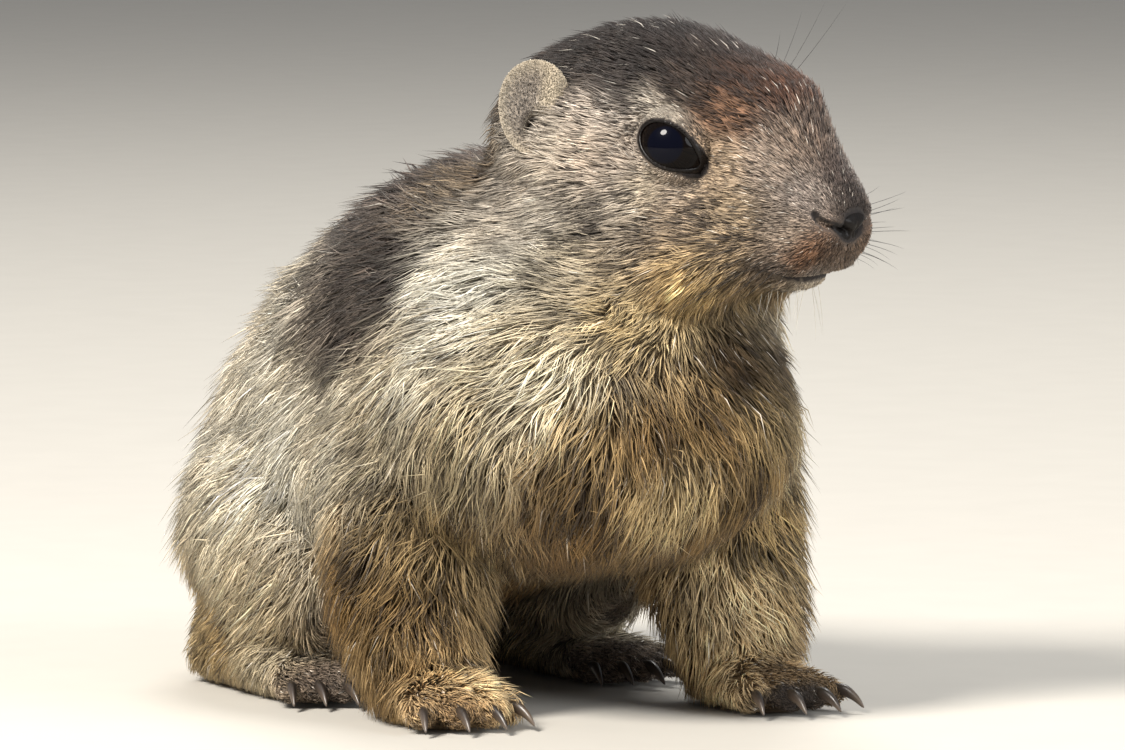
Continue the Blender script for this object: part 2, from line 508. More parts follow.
def add_mass(bm, knots, sides, rings, over="rising", level=False, grow=0.0):
    """A closed body along knots, warped from a sphere. Returns its vertices. Its cross sections stand
    upright where it is level, and else square to the line, with Z over a lying one. grow widens it."""
    knots = np.asarray(knots, float)
    verts = bmesh.ops.create_uvsphere(bm, u_segments=sides, v_segments=rings, radius=1)["verts"]
    ball = points_of(verts)
    along = np.clip((1 - ball[:, 2]) / 2, 0, 1)
    more = grow(along) if callable(grow) else np.full(len(ball), float(grow))
    spine, girth = knots[:, :3], knots[:, 3:] ** 2
    tangent = unit(spline(spine, np.clip(along + 1e-4, 0, 1)) - spline(spine, np.clip(along - 1e-4, 0, 1)))
    up = np.tile([0.0, 0.0, 1.0], (len(ball), 1))
    forward = np.tile([0.0, 1.0, 0.0], (len(ball), 1)) if level else tangent
    top = up if level or over == "lying" else np.cross([1.0, 0.0, 0.0], tangent)
    beside = unit(np.cross(forward, top))
    above = np.cross(beside, forward)
    reach = spline(girth, along)
    round_ = np.hypot(ball[:, 0], ball[:, 1])
    width = np.maximum(np.sqrt(np.maximum(reach[:, 0], 0)) + more, 0.1)
    tall = np.where(ball[:, 1] > 0, reach[:, 1], reach[:, 2])
    height = np.maximum(np.sqrt(np.maximum(tall, 0)) + more, 0.1)
    point = spline(spine, along)
    inside = round_ > 1e-4
    safe = np.where(inside, round_, 1)
    point = np.where(
        inside[:, None],
        point + beside * (width * ball[:, 0] / safe)[:, None] + above * (height * ball[:, 1] / safe)[:, None],
        point + tangent * np.where(along < 0.5, -more, more)[:, None],
    )
    move(verts, point)
    return verts


def head_matrix(sizes):
    turns = [(sizes.turn, "Z"), (sizes.dip, "X"), (-sizes.roll, "Y")]
    made = Matrix.Translation(Vector(sizes.nose_tip) / MM)
    for angle, axis in turns:
        made = made @ Matrix.Rotation(angle, 4, axis)
    return made


def facing(direction, lift):
    """Columns of a frame at a place on the left: +X backward, +Y up and +Z out, turned about +Z by lift."""
    out = Vector(direction).normalized()
    right = (Vector((0, 1, 0)) - out * out.y).normalized()
    made = Matrix((right, out.cross(right), out)).transposed()
    return np.array(Matrix.Rotation(math.radians(lift), 3, out) @ made)


class Space:
    """The head's frame in the body's, and the body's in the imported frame."""

    def __init__(self, sizes):
        self.matrix = np.array(head_matrix(sizes))
        low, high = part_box("eye_left")
        seat = self.matrix[:3, :3] @ EYE_SEAT + self.matrix[:3, 3]
        self.shift = seat * MM - np.array((low + high) / 2)

    def to_head(self, points):
        return (points - self.matrix[:3, 3]) @ self.matrix[:3, :3]

    def to_body(self, points):
        return points @ self.matrix[:3, :3].T + self.matrix[:3, 3]

    def turned(self, ways):
        return ways @ self.matrix[:3, :3].T

    def packed(self, points):
        return points * MM - self.shift


def vertex_values(mesh, what):
    """What each vertex of a mesh has, its co or its normal."""
    made = np.empty(len(mesh.vertices) * 3, np.float32)
    mesh.vertices.foreach_get(what, made)
    return made.reshape(-1, 3).astype(float)


def triangles(mesh):
    mesh.calc_loop_triangles()
    made = np.empty(len(mesh.loop_triangles) * 3, np.int32)
    mesh.loop_triangles.foreach_get("vertices", made)
    return made.reshape(-1, 3)


def put_coordinates(mesh, points):
    mesh.vertices.foreach_set("co", points.astype(np.float32).ravel())
    mesh.update()


def finished(mesh, name, surface, replaced=(), space=None):
    """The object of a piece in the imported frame, riding on the still body."""
    if space is not None:
        put_coordinates(mesh, space.packed(vertex_values(mesh, "co")))
    mesh.polygons.foreach_set("use_smooth", np.ones(len(mesh.polygons), bool))
    mesh.materials.append(surface)
    made = bpy.data.objects.new(name, mesh)
    bpy.context.scene.collection.objects.link(made)
    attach(made, "root")
    if replaced:
        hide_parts(*replaced)
    return made


def mesh_of(bm, name):
    mesh = bpy.data.meshes.new(name)
    bm.to_mesh(mesh)
    bm.free()
    return mesh


def closed(bm, name):
    """The mesh of a ball, ring or claws, its faces outward and mixed in one fixed order, because Blender
    makes them in another order each run and what grows on them follows it."""
    bmesh.ops.recalc_face_normals(bm, faces=bm.faces)
    bm.verts.index_update()
    faces = sorted(bm.faces, key=lambda face: sorted(v.index for v in face.verts))
    for face, place in zip(faces, np.random.default_rng(0).permutation(len(faces))):
        face.index = int(place)
    bm.faces.sort()
    return mesh_of(bm, name)


def attribute(mesh, name, values):
    """Stores a number or a colour for each vertex."""
    kind = "FLOAT" if values.ndim == 1 else "FLOAT_COLOR"
    made = mesh.attributes.new(name, kind, "POINT")
    made.data.foreach_set("value" if values.ndim == 1 else "color", values.astype(np.float32).ravel())


# Lie and markings of the coat


class CoatMap:
    """The coat's places, mirrored to both sides, with every point's share in each."""

    def __init__(self, space):
        rows = []
        for table, head in ((HEAD_COAT, True), (BODY_COAT, False)):
            for place, *coat, way in table:
                for side in (-1, 1) if place[0] else (1,):
                    at, lie = np.array([side, 1.0, 1.0]) * place, np.array([side, 1.0, 1.0]) * way
                    if head:
                        at, lie = space.to_body(at), space.turned(lie)
                    rows.append((at, lie, *coat))
        for place, *coat in TAIL_COAT:
            near = [np.linalg.norm(np.subtract(place, knot[:3])) for knot in TAIL[:-1]]
            k = max(int(np.argmin(near)), 1)
            lie = np.subtract(TAIL[k + 1][:3], TAIL[k - 1][:3])
            rows.append((np.array(place, float), lie, *coat))
        at, lie, soft, length, wide, rise, draw, root, tip, dark = zip(*rows)
        self.at, self.soft = np.array(at), np.array(soft, float)
        self.sizes = np.array([length, wide, rise, draw, dark], float).T.copy()
        self.root, self.tip = np.array([rgb(code) for code in root]), np.array([rgb(code) for code in tip])
        self.lie = unit(np.array(lie, float))

    def shares(self, points):
        near = ((points[:, None, :] - self.at[None]) ** 2).sum(2)
        made = 1 / (near + self.soft**2) ** 2.6 * self.soft**2.2
        return made / made.sum(1, keepdims=True)

    def read(self, points, normals):
        """Length, half width, rise, draw and share of dark hairs, root and tip colour, and lie."""
        share = self.shares(points)
        lie = share @ self.lie
        return share @ self.sizes, share @ self.root, share @ self.tip, along_skin(lie, normals)


def waves(points, size, seed, count=7):
    """A smooth noise between about -1 and 1 that changes over size millimetres."""
    draw = np.random.default_rng(seed)
    ways = unit(draw.normal(size=(count, 3))) * draw.uniform(0.6, 1.5, (count, 1))
    ways = ways * (2 * math.pi / (size * 2.2))
    return np.sin(points @ ways.T + draw.uniform(0, 6.28, count)).sum(1) / math.sqrt(count) * 0.8


# Places on the head where the coat stops


def eye_places(head_points, side):
    mirrored = head_points * [side, 1, 1]
    return (mirrored - EYE_CENTRE) @ facing(EYE_LOOK, EYE_LIFT)


def opening(local, sizes):
    """1 on the rim of the eye's opening, less inside it. Its front corner is drawn out low."""
    a, b = sizes.eye_half_length / MM, sizes.eye_half_height / MM
    corner = np.clip(-local[:, 0] / a, 0, 1.25) ** 4
    made = np.hypot(local[:, 0] / (a + 1.5 * np.clip(corner, 0, 1)), (local[:, 1] + 0.35 * corner) / b)
    return np.where(local[:, 2] > 0, made, 9.0)


def gap_to_line(points, line):
    """Distance from points to a line through knots, and the share along it."""
    best, where = np.full(len(points), 1e9), np.zeros(len(points))
    for k, (a, b) in enumerate(zip(line[:-1], line[1:])):
        a, b = np.asarray(a, float), np.asarray(b, float)
        t = np.clip((points - a) @ (b - a) / ((b - a) @ (b - a)), 0, 1)
        gap = np.linalg.norm(points - a - t[:, None] * (b - a), axis=1)
        where = np.where(gap < best, (k + t) / (len(line) - 1), where)
        best = np.minimum(best, gap)
    return best, where


def laid(line, tree, space):
    """A line through knots, laid on the skin."""
    dense = spline(line, np.linspace(0, 1, 16))
    found = [tree.find_nearest(Vector(p))[0] for p in space.to_body(dense)]
    return [tuple(p) for p in space.to_head(np.array(found))]


def mouth_height(y):
    return -12.7 - 1.3 * smoothstep(1, 9, y) + 0.8 * np.clip((y - 10.5) / 4, 0, 1.5) ** 2


def clear_of(gap, edge, full, least):
    """0 up to the edge of something bare, least just past it and 1 from where the coat is full."""
    return smoothstep(edge, full, gap) * (1 - least) + least * (gap > edge)


def bare(points, space, sizes):
    """0 where nothing grows, on lids, nostrils, nose and lips, and 1 where the coat has its full length."""
    head = space.to_head(points)
    made = np.ones(len(points))
    for side in (-1, 1):
        mirrored = head * [side, 1, 1]
        lid = clear_of(opening(eye_places(head, side), sizes), LID_EDGE, 2.0, 0.3)
        gap, share = gap_to_line(mirrored, SKIN.nostril)
        nostril = clear_of(gap, 1.25 - 0.5 * share, 3.0, 0.4)
        hole = clear_of(np.linalg.norm((mirrored - EAR_HOLE) * [0.4, 1, 1], axis=1), 1.1, 3.2, 0.3)
        made = np.minimum.reduce([made, lid, nostril, hole])
    centre, radii = NOSE_PAD
    pad = np.linalg.norm((head - centre) / (np.array(radii) + 0.2), axis=1)
    made = np.minimum(made, (pad > 1.02) * 1.0)
    lip = np.abs(head[:, 2] - mouth_height(head[:, 1]))
    front = 1 - smoothstep(9, 14.5, head[:, 1])
    made = np.minimum(made, 1 - 0.75 * front * (1 - smoothstep(0.8, 2.6, lip)))
    return np.where(lip < 0.7 * front, 0, made)


# The skin


def skull_grow(along):
    """The coat's depth on the head: none at the nose, most on the crown and at the back."""
    return -(0.25 + 0.75 * smoothstep(0.08, 0.6, along))


def foreleg_knots(at, side):
    x, y = at
    return [
        [x - 13 * side, y + 2, 74, 0, 0, 0],
        [x - 8 * side, y + 4, 58, 17, 17, 18],
        [x - 3 * side, y + 6, 42, 17, 16, 17],
        [x - side, y + 5, 28, 15, 14, 14],
        [x, y + 1, 15, 11, 10, 10],
        [x, y - 2, 7, 8.6, 8, 8],
        [x, y - 3, 1, 0, 0, 0],
    ]


def thigh_knots(at, side):
    x, y = at
    return [
        [x - 11 * side, y + 44, 28, 0, 0, 0],
        [x - 7 * side, y + 35, 28, 14, 19, 18],
        [x - 4 * side, y + 16, 28, 16.5, 26, 22],
        [x - 2 * side, y - 4, 25, 13, 18, 18],
        [x, y - 17, 20, 0, 0, 0],
    ]


def shank_knots(at, side):
    x, y = at
    return [
        [x - 3 * side, y - 14, 20, 0, 0, 0],
        [x - 2 * side, y - 3, 18, 8, 9, 9],
        [x - side, y + 16, 14, 9, 11, 11],
        [x, y + 38, 9, 0, 0, 0],
    ]


def sole_knots(at, foot):
    (x, y), (length, width, height, _, _, _, heel, _) = at, foot

    def cut(share, lift, wide, tall):
        return [x, y + heel - share * length, lift, width * wide, height * tall, 6]

    return [
        [x, y + heel + 2, 5, 0, 0, 0],
        cut(0.08, 5, 0.72, 0.9),
        cut(0.4, 5, 0.86, 1),
        cut(0.72, 4.6, 1.02, 0.85),
        cut(0.95, 4, 0.9, 0.55),
        [x, y + heel - length - 2, 3.6, 0, 0, 0],
    ]


def toe_lines(at, side, foot):
    """Root, way and length of each toe, which fan out from the front of the sole."""
    (x, y), (length, width, _, toe_length, _, fan, heel, count) = at, foot
    lines = []
    for toe in range(count):
        step = toe - (count - 1) / 2
        outer = abs(step) / ((count - 1) / 2)
        angle = math.radians(step * fan + side * 5)
        root = np.array([x + step * 2 * width / count * 0.92, y + heel - length + 3 + outer * 2.5, 4])
        lines.append((root, np.array([math.sin(angle), -math.cos(angle), 0]), toe_length - outer * 1.5))
    return lines


def toe_knots(line, foot):
    (root, way, length), half = line, foot[4]
    made = []
    for share, lift, wide in TOE_SHAPE:
        p = root + way * share * length
        made.append([p[0], p[1], lift, half * wide, half * wide, half * wide])
    return made


def claw_knots(line):
    root, way, length = line
    made = []
    for reach, lift, thick in CLAW_SHAPE:
        p = root + way * (length * 0.86 + reach)
        made.append([p[0], p[1], lift, thick * 0.75, thick, thick])
    return made


def foot_of(name):
    return FORE_FOOT if name.startswith("fore") else HIND_FOOT


def sculpt_head(bm, verts):
    """Swells and hollows the skull along its normals."""
    bm.normal_update()
    points = points_of(verts)
    normals = np.array([v.normal for v in verts])
    rise = np.zeros(len(points))
    for side in (-1, 1):
        for x, y, z, reach, amount in HEAD_FORMS:
            near = np.exp(-(((points - [side * x, y, z]) ** 2).sum(1) / reach**2))
            # a form on the middle line is met from both sides
            rise += amount * near * (0.5 if x == 0 else 1)
    outward = np.sign(((points - points.mean(0)) * normals).sum())
    move(verts, points + normals * (rise * outward)[:, None])


def add_body(bm, coat, head):
    """All masses of the body, inside the solids by the coat's depth."""
    depth = coat.depth / MM

    def foreleg_grow(along):
        return -depth * 0.7 * (1 - smoothstep(0.25, 0.8, along))

    verts = add_mass(bm, SKULL, 96, 110, level=True, grow=skull_grow)
    sculpt_head(bm, verts)
    for side in (-1, 1):
        verts += add_mass(bm, [[side * k[0], *k[1:]] for k in JOWL], 32, 40, level=True)
    bmesh.ops.transform(bm, matrix=head, verts=verts)
    add_mass(bm, TRUNK, 72, 72, level=True, grow=-depth)
    add_mass(bm, NECK, 64, 48, grow=-depth)
    add_mass(bm, TAIL, 32, 64, over="lying", grow=-depth * 0.8)
    for name, (at, side) in PAWS.items():
        foot = foot_of(name)
        if foot is FORE_FOOT:
            add_mass(bm, foreleg_knots(at, side), 40, 48, grow=foreleg_grow)
        else:
            add_mass(bm, thigh_knots(at, side), 48, 48, level=True, grow=-depth * 0.6)
            add_mass(bm, shank_knots(at, side), 32, 32, level=True, grow=-0.6)
        add_mass(bm, sole_knots(at, foot), 32, 32, level=True, grow=-0.3)
        for line in toe_lines(at, side, foot):
            add_mass(bm, toe_knots(line, foot), 20, 24, grow=-0.25)


def remeshed(mesh, voxel):
    """One closed surface round overlapping ones."""
    draft = bpy.data.objects.new("skin_draft", mesh)
    bpy.context.scene.collection.objects.link(draft)
    fuse = draft.modifiers.new("fuse", "REMESH")
    fuse.mode, fuse.voxel_size = "VOXEL", voxel
    made = bpy.data.meshes.new_from_object(draft.evaluated_get(bpy.context.evaluated_depsgraph_get()))
    bpy.data.objects.remove(draft)
    return made


def smoothed(bm, verts, rounds):
    for _ in range(rounds):
        bmesh.ops.smooth_vert(bm, verts=verts, factor=0.5, use_axis_x=True, use_axis_y=True, use_axis_z=True)


def refine(bm, inside):
    """Halves the edges whose ends are both inside, a test of all points at once."""
    near = inside(points_of(bm.verts))
    bm.verts.index_update()
    edges = [e for e in bm.edges if near[e.verts[0].index] and near[e.verts[1].index]]
    bmesh.ops.subdivide_edges(bm, edges=edges, cuts=1, use_grid_fill=True, smooth=0.6)


def open_eye(head, side, sizes):
    """Draws the skin over the eyeball round the opening and sinks it behind the ball inside."""
    basis = facing(EYE_LOOK, EYE_LIFT)
    local = eye_places(head, side)
    near = opening(local, sizes)
    ball = sizes.eye_radius / MM
    flat = np.hypot(local[:, 0], local[:, 1])
    over = np.sqrt(np.maximum(ball**2 - np.minimum(flat, ball * 0.97) ** 2, 0))
    lid = 0.5 + 0.5 * np.exp(-(((local[:, 1] - 6) / 2.5) ** 2))  # thicker towards the brow
    depth = np.where(near < 1, over - 1.8 - 1.5 * (1 - np.clip(near, 0, 1)), over + lid)
    blend = np.where(near < 1, 1.0, 1 - smoothstep(1.1, 2.3, near))
    moved = local.copy()
    moved[:, 2] = local[:, 2] * (1 - blend) + depth * blend
    back = moved @ basis.T + EYE_CENTRE
    return np.where((near < 2.3)[:, None], back * [side, 1, 1], head)


def carve_head(head, normals, sizes, nostril):
    """Nostrils with their wings, the groove under the nose, the mouth, the crease over the eye and the
    seat of the ear's canal."""
    sink = np.zeros(len(head))
    for side in (-1, 1):
        mirrored = head * [side, 1, 1]
        gap, share = gap_to_line(mirrored, nostril)
        narrow = np.exp(-((gap / (1.0 - 0.4 * share)) ** 2))
        sink += NOSTRIL_DEPTH * narrow * (1 - smoothstep(0.6, 1, share) * 0.6)
        wing, share = gap_to_line(mirrored - [0.2, 0.1, 1.5], nostril)
        sink -= WING_RISE * np.exp(-((wing / 0.9) ** 2)) * smoothstep(0.1, 0.4, share)
        local = eye_places(head, side)
        near = opening(local, sizes)
        crease = np.exp(-(((near - 2.0) / 0.18) ** 2)) * (local[:, 1] > 1) * np.exp(-((local[:, 0] / 5) ** 2))
        sink += BROW_CREASE_DEPTH * crease
        sink += EAR_HOLE_DEPTH * np.exp(-((np.linalg.norm(mirrored - EAR_HOLE, axis=1) / 1.5) ** 2))
    lip = head[:, 2] - mouth_height(head[:, 1])
    along = (1 - smoothstep(11, 16, head[:, 1])) * (head[:, 2] < -8)
    sink += MOUTH_DEPTH * np.exp(-((lip / 0.72) ** 2)) * along
    sink -= LIP_RISE * np.exp(-(((np.abs(lip) - 1.5) / 0.8) ** 2)) * along
    groove = np.exp(-((head[:, 0] / 0.5) ** 2)) * (head[:, 1] < 7) * (head[:, 2] < -6.5) * (head[:, 2] > -14)
    sink += GROOVE_DEPTH * groove
    return head - normals * sink[:, None]


def skin_colours(points, normals, coat_map, space, sizes):
    """The coat's own markings, darker than its tips, with dark skin bare at lids, lips and nostrils."""
    _, root, tip, _ = coat_map.read(points, normals)
    made = root * 0.6 + tip * 0.22
    open_skin = 1 - bare(points, space, sizes)
    edge = smoothstep(0.55, 0.9, open_skin)[:, None]
    made = made * (1 - edge) + rgb("#1d1614") * edge
    return np.hstack([made, np.ones((len(made), 1))])


def under_jaw(head):
    """Where the masses of cheek, throat and neck meet in folds that the coat would show."""
    return (head[:, 1] > 16) & (head[:, 1] < 78) & (head[:, 2] > -42) & (head[:, 2] < -10)


# First words of the names of the solids that the skin replaces
FLESH = ("head", "neck", "torso", "foreleg", "hindleg", "tail")


class Skin:
    """The skin's surface, kept for what grows on it."""

    points = normals = corners = None
    tree = space = coat_map = None
    nostril = NOSTRIL


SKIN = Skin()


def build_skin(settings):
    head_sizes, coat = settings.head, settings.coat
    space = Space(head_sizes)
    bm = bmesh.new()
    add_body(bm, coat, head_matrix(head_sizes))
    bmesh.ops.recalc_face_normals(bm, faces=bm.faces)
    mesh = remeshed(mesh_of(bm, "marmot_masses"), coat.voxel / MM)
    bm = bmesh.new()
    bm.from_mesh(mesh)
    smoothed(bm, bm.verts, 4)
    below_jaw = under_jaw(space.to_head(points_of(bm.verts)))
    smoothed(bm, [v for v, there in zip(bm.verts, below_jaw) if there], 24)

    def on_face(points):
        head = space.to_head(points)
        return (head[:, 1] < 46) & (head[:, 2] > -24) & (points[:, 2] > 70)

    def by_nose_or_eye(points):
        head = space.to_head(points)
        made = (head[:, 1] < 9) & (points[:, 2] > 70)
        for side in (-1, 1):
            near = opening(eye_places(head, side), head_sizes)
            made |= (near > 0.6) & (near < 1.6)
        return made

    refine(bm, on_face)
    refine(bm, by_nose_or_eye)
    mesh = mesh_of(bm, "marmot_skin")
    points, normals, corners = vertex_values(mesh, "co"), vertex_values(mesh, "normal"), triangles(mesh)
    whole = BVHTree.FromPolygons(points.tolist(), corners.tolist())
    SKIN.nostril = laid(NOSTRIL, whole, space)
    head = carve_head(space.to_head(points), normals @ space.matrix[:3, :3], head_sizes, SKIN.nostril)
    for side in (-1, 1):
        head = open_eye(head, side, head_sizes)
    points = space.to_body(head)
    points[:, 2] = np.maximum(points[:, 2], 0.05)
    put_coordinates(mesh, points)
    SKIN.space, SKIN.coat_map = space, CoatMap(space)
    SKIN.points, SKIN.normals, SKIN.corners = points, vertex_values(mesh, "normal"), corners
    SKIN.tree = BVHTree.FromPolygons(points.tolist(), corners.tolist())
    attribute(mesh, "coat_colour", skin_colours(points, SKIN.normals, SKIN.coat_map, space, head_sizes))
    print("skin triangles", len(corners))
    flesh = [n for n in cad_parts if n.split("_")[0] in FLESH]
    return finished(mesh, "marmot_skin", skin_material(), flesh, space)


# Tufts


def drawn_roots(points, corners, normals, density, rng):
    """Roots spread evenly over triangles, with density a number for each triangle and square millimetre."""
    a, b, c = (points[corners[:, k]] for k in range(3))
    area = 0.5 * np.linalg.norm(np.cross(b - a, c - a), axis=1)
    total = np.cumsum(area * density)
    picked = np.searchsorted(total, np.arange(rng.uniform(), total[-1], 1.0))
    picked = np.minimum(picked, len(corners) - 1)
    s, t = np.sqrt(rng.uniform(size=len(picked)))[:, None], rng.uniform(size=len(picked))[:, None]
    weights = np.hstack([1 - s, s * (1 - t), s * t])
    tri = corners[picked]
    at = (points[tri] * weights[:, :, None]).sum(1)
    out = unit((normals[tri] * weights[:, :, None]).sum(1))
    return at, out


def along_skin(ways, normals):
    return unit(ways - normals * (ways * normals).sum(1, keepdims=True))


def turned_about(ways, normals, angles):
    c, s = np.cos(angles)[:, None], np.sin(angles)[:, None]
    return ways * c + np.cross(normals, ways) * s


def hair_paths(at, out, lie, length, rise, tree, curl):
    """Points of each tuft from root to tip, following the surface and lifting off it."""
    path, lift = [at - out * 0.5], length * np.sin(np.radians(rise))
    stride = (length * np.cos(np.radians(rise)) / TUFT_STEPS)[:, None]
    place, normal, way = at.copy(), out.copy(), lie.copy()
    ups = [out]
    for k in range(1, TUFT_STEPS + 1):
        found = [tree.find_nearest(p) for p in place + way * stride]
        place = np.array([f[0] for f in found])
        ahead = np.array([f[1] for f in found])
        normal = unit(0.5 * normal + 0.5 * np.where((ahead * normal).sum(1)[:, None] > 0, ahead, normal))
        height = lift * (k / TUFT_STEPS) ** TUFT_BEND
        way = turned_about(along_skin(way, normal), normal, curl)
        path.append(place + normal * height[:, None])
        ups.append(normal)
    return np.stack(path, 1), np.stack(ups, 1)


def drawn_together(path, ups, at, draw, spacing, rng):
    """Pulls tufts towards the tips of chosen ones, so that the coat parts into pointed locks. The second
    result is each tuft's lock."""
    count = max(int(len(at) / spacing), 1)
    chosen = rng.choice(len(at), count, replace=False)
    tree = kdtree.KDTree(count)
    for k, i in enumerate(chosen):
        tree.insert(at[i], k)
    tree.balance()
    leader = chosen[np.array([tree.find(p)[1] for p in at])]
    same = (ups[:, 0] * ups[leader, 0]).sum(1) > 0.3
    steps = path.shape[1]
    pull = (np.linspace(0, 1, steps) ** 1.4)[None] * (draw * rng.uniform(0.6, 1.15, len(at)) * same)[:, None]
    aim = path[leader] + rng.normal(0, 0.25, (len(at), 1, 3)) * np.linspace(0, 1, steps)[None, :, None]
    return path * (1 - pull[..., None]) + aim * pull[..., None], leader


# How hairs narrow from root to tip
TUFT_TAPER = (0.9, 0.85, 0.0)
WHISKER_TAPER = (1.0, 0.95, 0.88, 0.8, 0.7, 0.58, 0.44, 0.26, 0.0)
TAPERS = {len(taper): np.array(taper) for taper in (TUFT_TAPER, WHISKER_TAPER)}
WHISKER_RINGS = len(WHISKER_TAPER)


def tuft_mesh(name, path, ups, half, colours, uv, flat):
    """One joined mesh of closed three-sided tufts. colours is (tufts, rings, 3), uv each root's place."""
    count, rings = path.shape[:2]
    tangent = np.gradient(path, axis=1)
    side = unit(np.cross(tangent, ups))
    top = unit(np.cross(side, tangent))
    wide = half[:, None] * TAPERS[rings][None]
    left = path - side * wide[..., None]
    right = path + side * wide[..., None]
    crest = path + top * (wide * flat * 2)[..., None]
    ring = np.stack([left, right, crest], 2)[:, :-1]
    per = 3 * (rings - 1) + 1
    points = np.concatenate([ring.reshape(count, -1, 3), path[:, -1:]], 1)
    quads, tris = [], [[0, 2, 1]]
    for k in range(rings - 2):
        a, b = 3 * k, 3 * k + 3
        quads += [[a + i, a + (i + 1) % 3, b + (i + 1) % 3, b + i] for i in range(3)]
    a = 3 * (rings - 2)
    tris += [[a + i, a + (i + 1) % 3, per - 1] for i in range(3)]
    start = (np.arange(count) * per)[:, None]
    loops = np.concatenate([np.ravel(quads).astype(int) + start, np.ravel(tris) + start], 1)
    sizes = np.tile(np.concatenate([np.full(len(quads), 4), np.full(len(tris), 3)]), count)
    mesh = bpy.data.meshes.new(name)
    mesh.vertices.add(count * per)
    mesh.vertices.foreach_set("co", points.astype(np.float32).ravel())
    mesh.loops.add(loops.size)
    mesh.loops.foreach_set("vertex_index", loops.astype(np.int32).ravel())
    mesh.polygons.add(len(sizes))
    mesh.polygons.foreach_set("loop_start", np.concatenate([[0], np.cumsum(sizes)[:-1]]).astype(np.int32))
    mesh.update(calc_edges=True)
    ringed = np.repeat(colours[:, :-1], 3, axis=1)
    tint = np.concatenate([ringed, colours[:, -1:]], 1).reshape(-1, 3)
    attribute(mesh, "coat_colour", np.hstack([tint, np.ones((len(tint), 1))]))
    patch_uv(mesh, loops, per, rings, uv)
    return mesh


def patch_uv(mesh, loops, per, rings, uv):
    """Each tuft a patch 0.003 across at its root's place on the unwrap."""
    local = np.empty((per, 2))
    for k in range(rings - 1):
        up = k / (rings - 1)
        local[3 * k : 3 * k + 3] = [[0, up], [1, up], [0.5, up]]
    local[per - 1] = [0.5, 1]
    layer = mesh.uv_layers.new(name="OFBake")
    spots = uv[:, None, :] + (local[loops % per] - 0.5) * 0.003
    layer.data.foreach_set("uv", spots.astype(np.float32).ravel())


def hair_colours(at, sizes, root, tip, rings, rng, silver, lock):
    """Each tuft's colour from root to tip: most banded, some dark to the tip, a few silver. Tufts of one
    lock are of about one tone."""
    count = len(at)
    share = np.linspace(0, 1, rings)
    mix = smoothstep(0.12, 0.8, share)[None, :, None]
    made = root[:, None] * (1 - mix) + tip[:, None] * mix
    tone = rng.normal(0, 1, count)[lock]
    patchy = sizes[:, 4] * (1 + 0.5 * waves(at, 5, 3) - 0.8 * tone)
    is_dark = rng.uniform(size=count) < patchy
    made[is_dark] = made[is_dark] * 0.3 + rgb(DARK_HAIR) * 0.7
    is_pale = (rng.uniform(size=count) < silver) & ~is_dark
    made[is_pale, 1:] = made[is_pale, 1:] * 0.35 + rgb(SILVER_HAIR) * 0.65
    bright = np.exp(rng.normal(0, 0.22, count) + 0.2 * tone + 0.1 * waves(at, 7, 5) + 0.08 * waves(at, 22, 9))
    warm = 1 + 0.03 * waves(at, 11, 13)[:, None, None] * np.array([1.0, 0.1, -1.0])
    return np.clip(made * bright[:, None, None] * warm, 0, 1)


# Region of a place, its chart's middle, axis and the way that is its zero angle
CHARTS = {
    "head": ((22, -22, 100), (-0.4, 0.9, 0.1), (0, 0, -1)),
    "neck": ((5, 0, 80), (0.1, -0.1, 1), (0, 1, 0)),
    "body": ((0, 20, 55), (0, 1, 0), (0, 0, -1)),
    "foreleg_right": ((-30, 4, 30), (0, 0, 1), (0, 1, 0)),
    "foreleg_left": ((35, -4, 30), (0, 0, 1), (0, 1, 0)),
    "hindleg_right": ((-34, 60, 22), (0, 1, 0), (1, 0, 0)),
    "hindleg_left": ((34, 60, 22), (0, 1, 0), (-1, 0, 0)),
    "tail": ((25, 125, 11), (1, 0.1, 0), (0, 0, -1)),
}


def region_of(points, space):
    head = space.to_head(points)
    x, y, z = points.T
    made = np.full(len(points), "body", dtype="<U16")
    made[(z > 66) & (y < 30 - (z - 66) * 0.2) & (z > 80 + y * 0.4)] = "neck"
    made[(z > 72) & (y < -18)] = "neck"
    made[(head[:, 1] < 66) & (head[:, 2] > -25 + 0.1 * head[:, 1]) & (z > 74)] = "head"
    made[(np.abs(x) > 15) & (y < 20) & (z < 42)] = "foreleg"
    made[(np.abs(x) > 17) & (y >= 20) & (z < 48) & (y < 96)] = "hindleg"
    made[(y > 103) & (z < 40)] = "tail"
    sides = np.where(x > 0, "_left", "_right")
    legs = (made == "foreleg") | (made == "hindleg")
    made[legs] = np.char.add(made[legs], sides[legs])
    return made


def chart(points, region):
    """A cylinder round the region's own axis, unrolled: the angle and the way along."""
    middle, axis, zero = (np.array(v, float) for v in CHARTS[region])
    axis = unit(axis)
    zero = unit(zero - axis * (zero @ axis))
    third = np.cross(axis, zero)
    out = points - middle
    return np.stack([np.arctan2(out @ third, out @ zero) / (2 * math.pi), out @ axis], 1)


def fitted(uv):
    low, high = uv.min(0), uv.max(0)
    return 0.01 + 0.98 * (uv - low) / np.maximum(high - low, 1e-9)


LIMIT = 190_000  # triangles of a coat piece


def tuft_piece(name, path, ups, half, colours, uv, surface, slot, flat=TUFT_FLAT):
    """The object of a piece of tufts, whose paths are in the body's frame."""
    mesh = tuft_mesh(name, SKIN.space.packed(path) / MM, ups, half, colours, uv, flat)
    mesh.transform(Matrix.Scale(MM, 4))
    print(name, len(path), "tufts")
    return finished(mesh, name, surface)


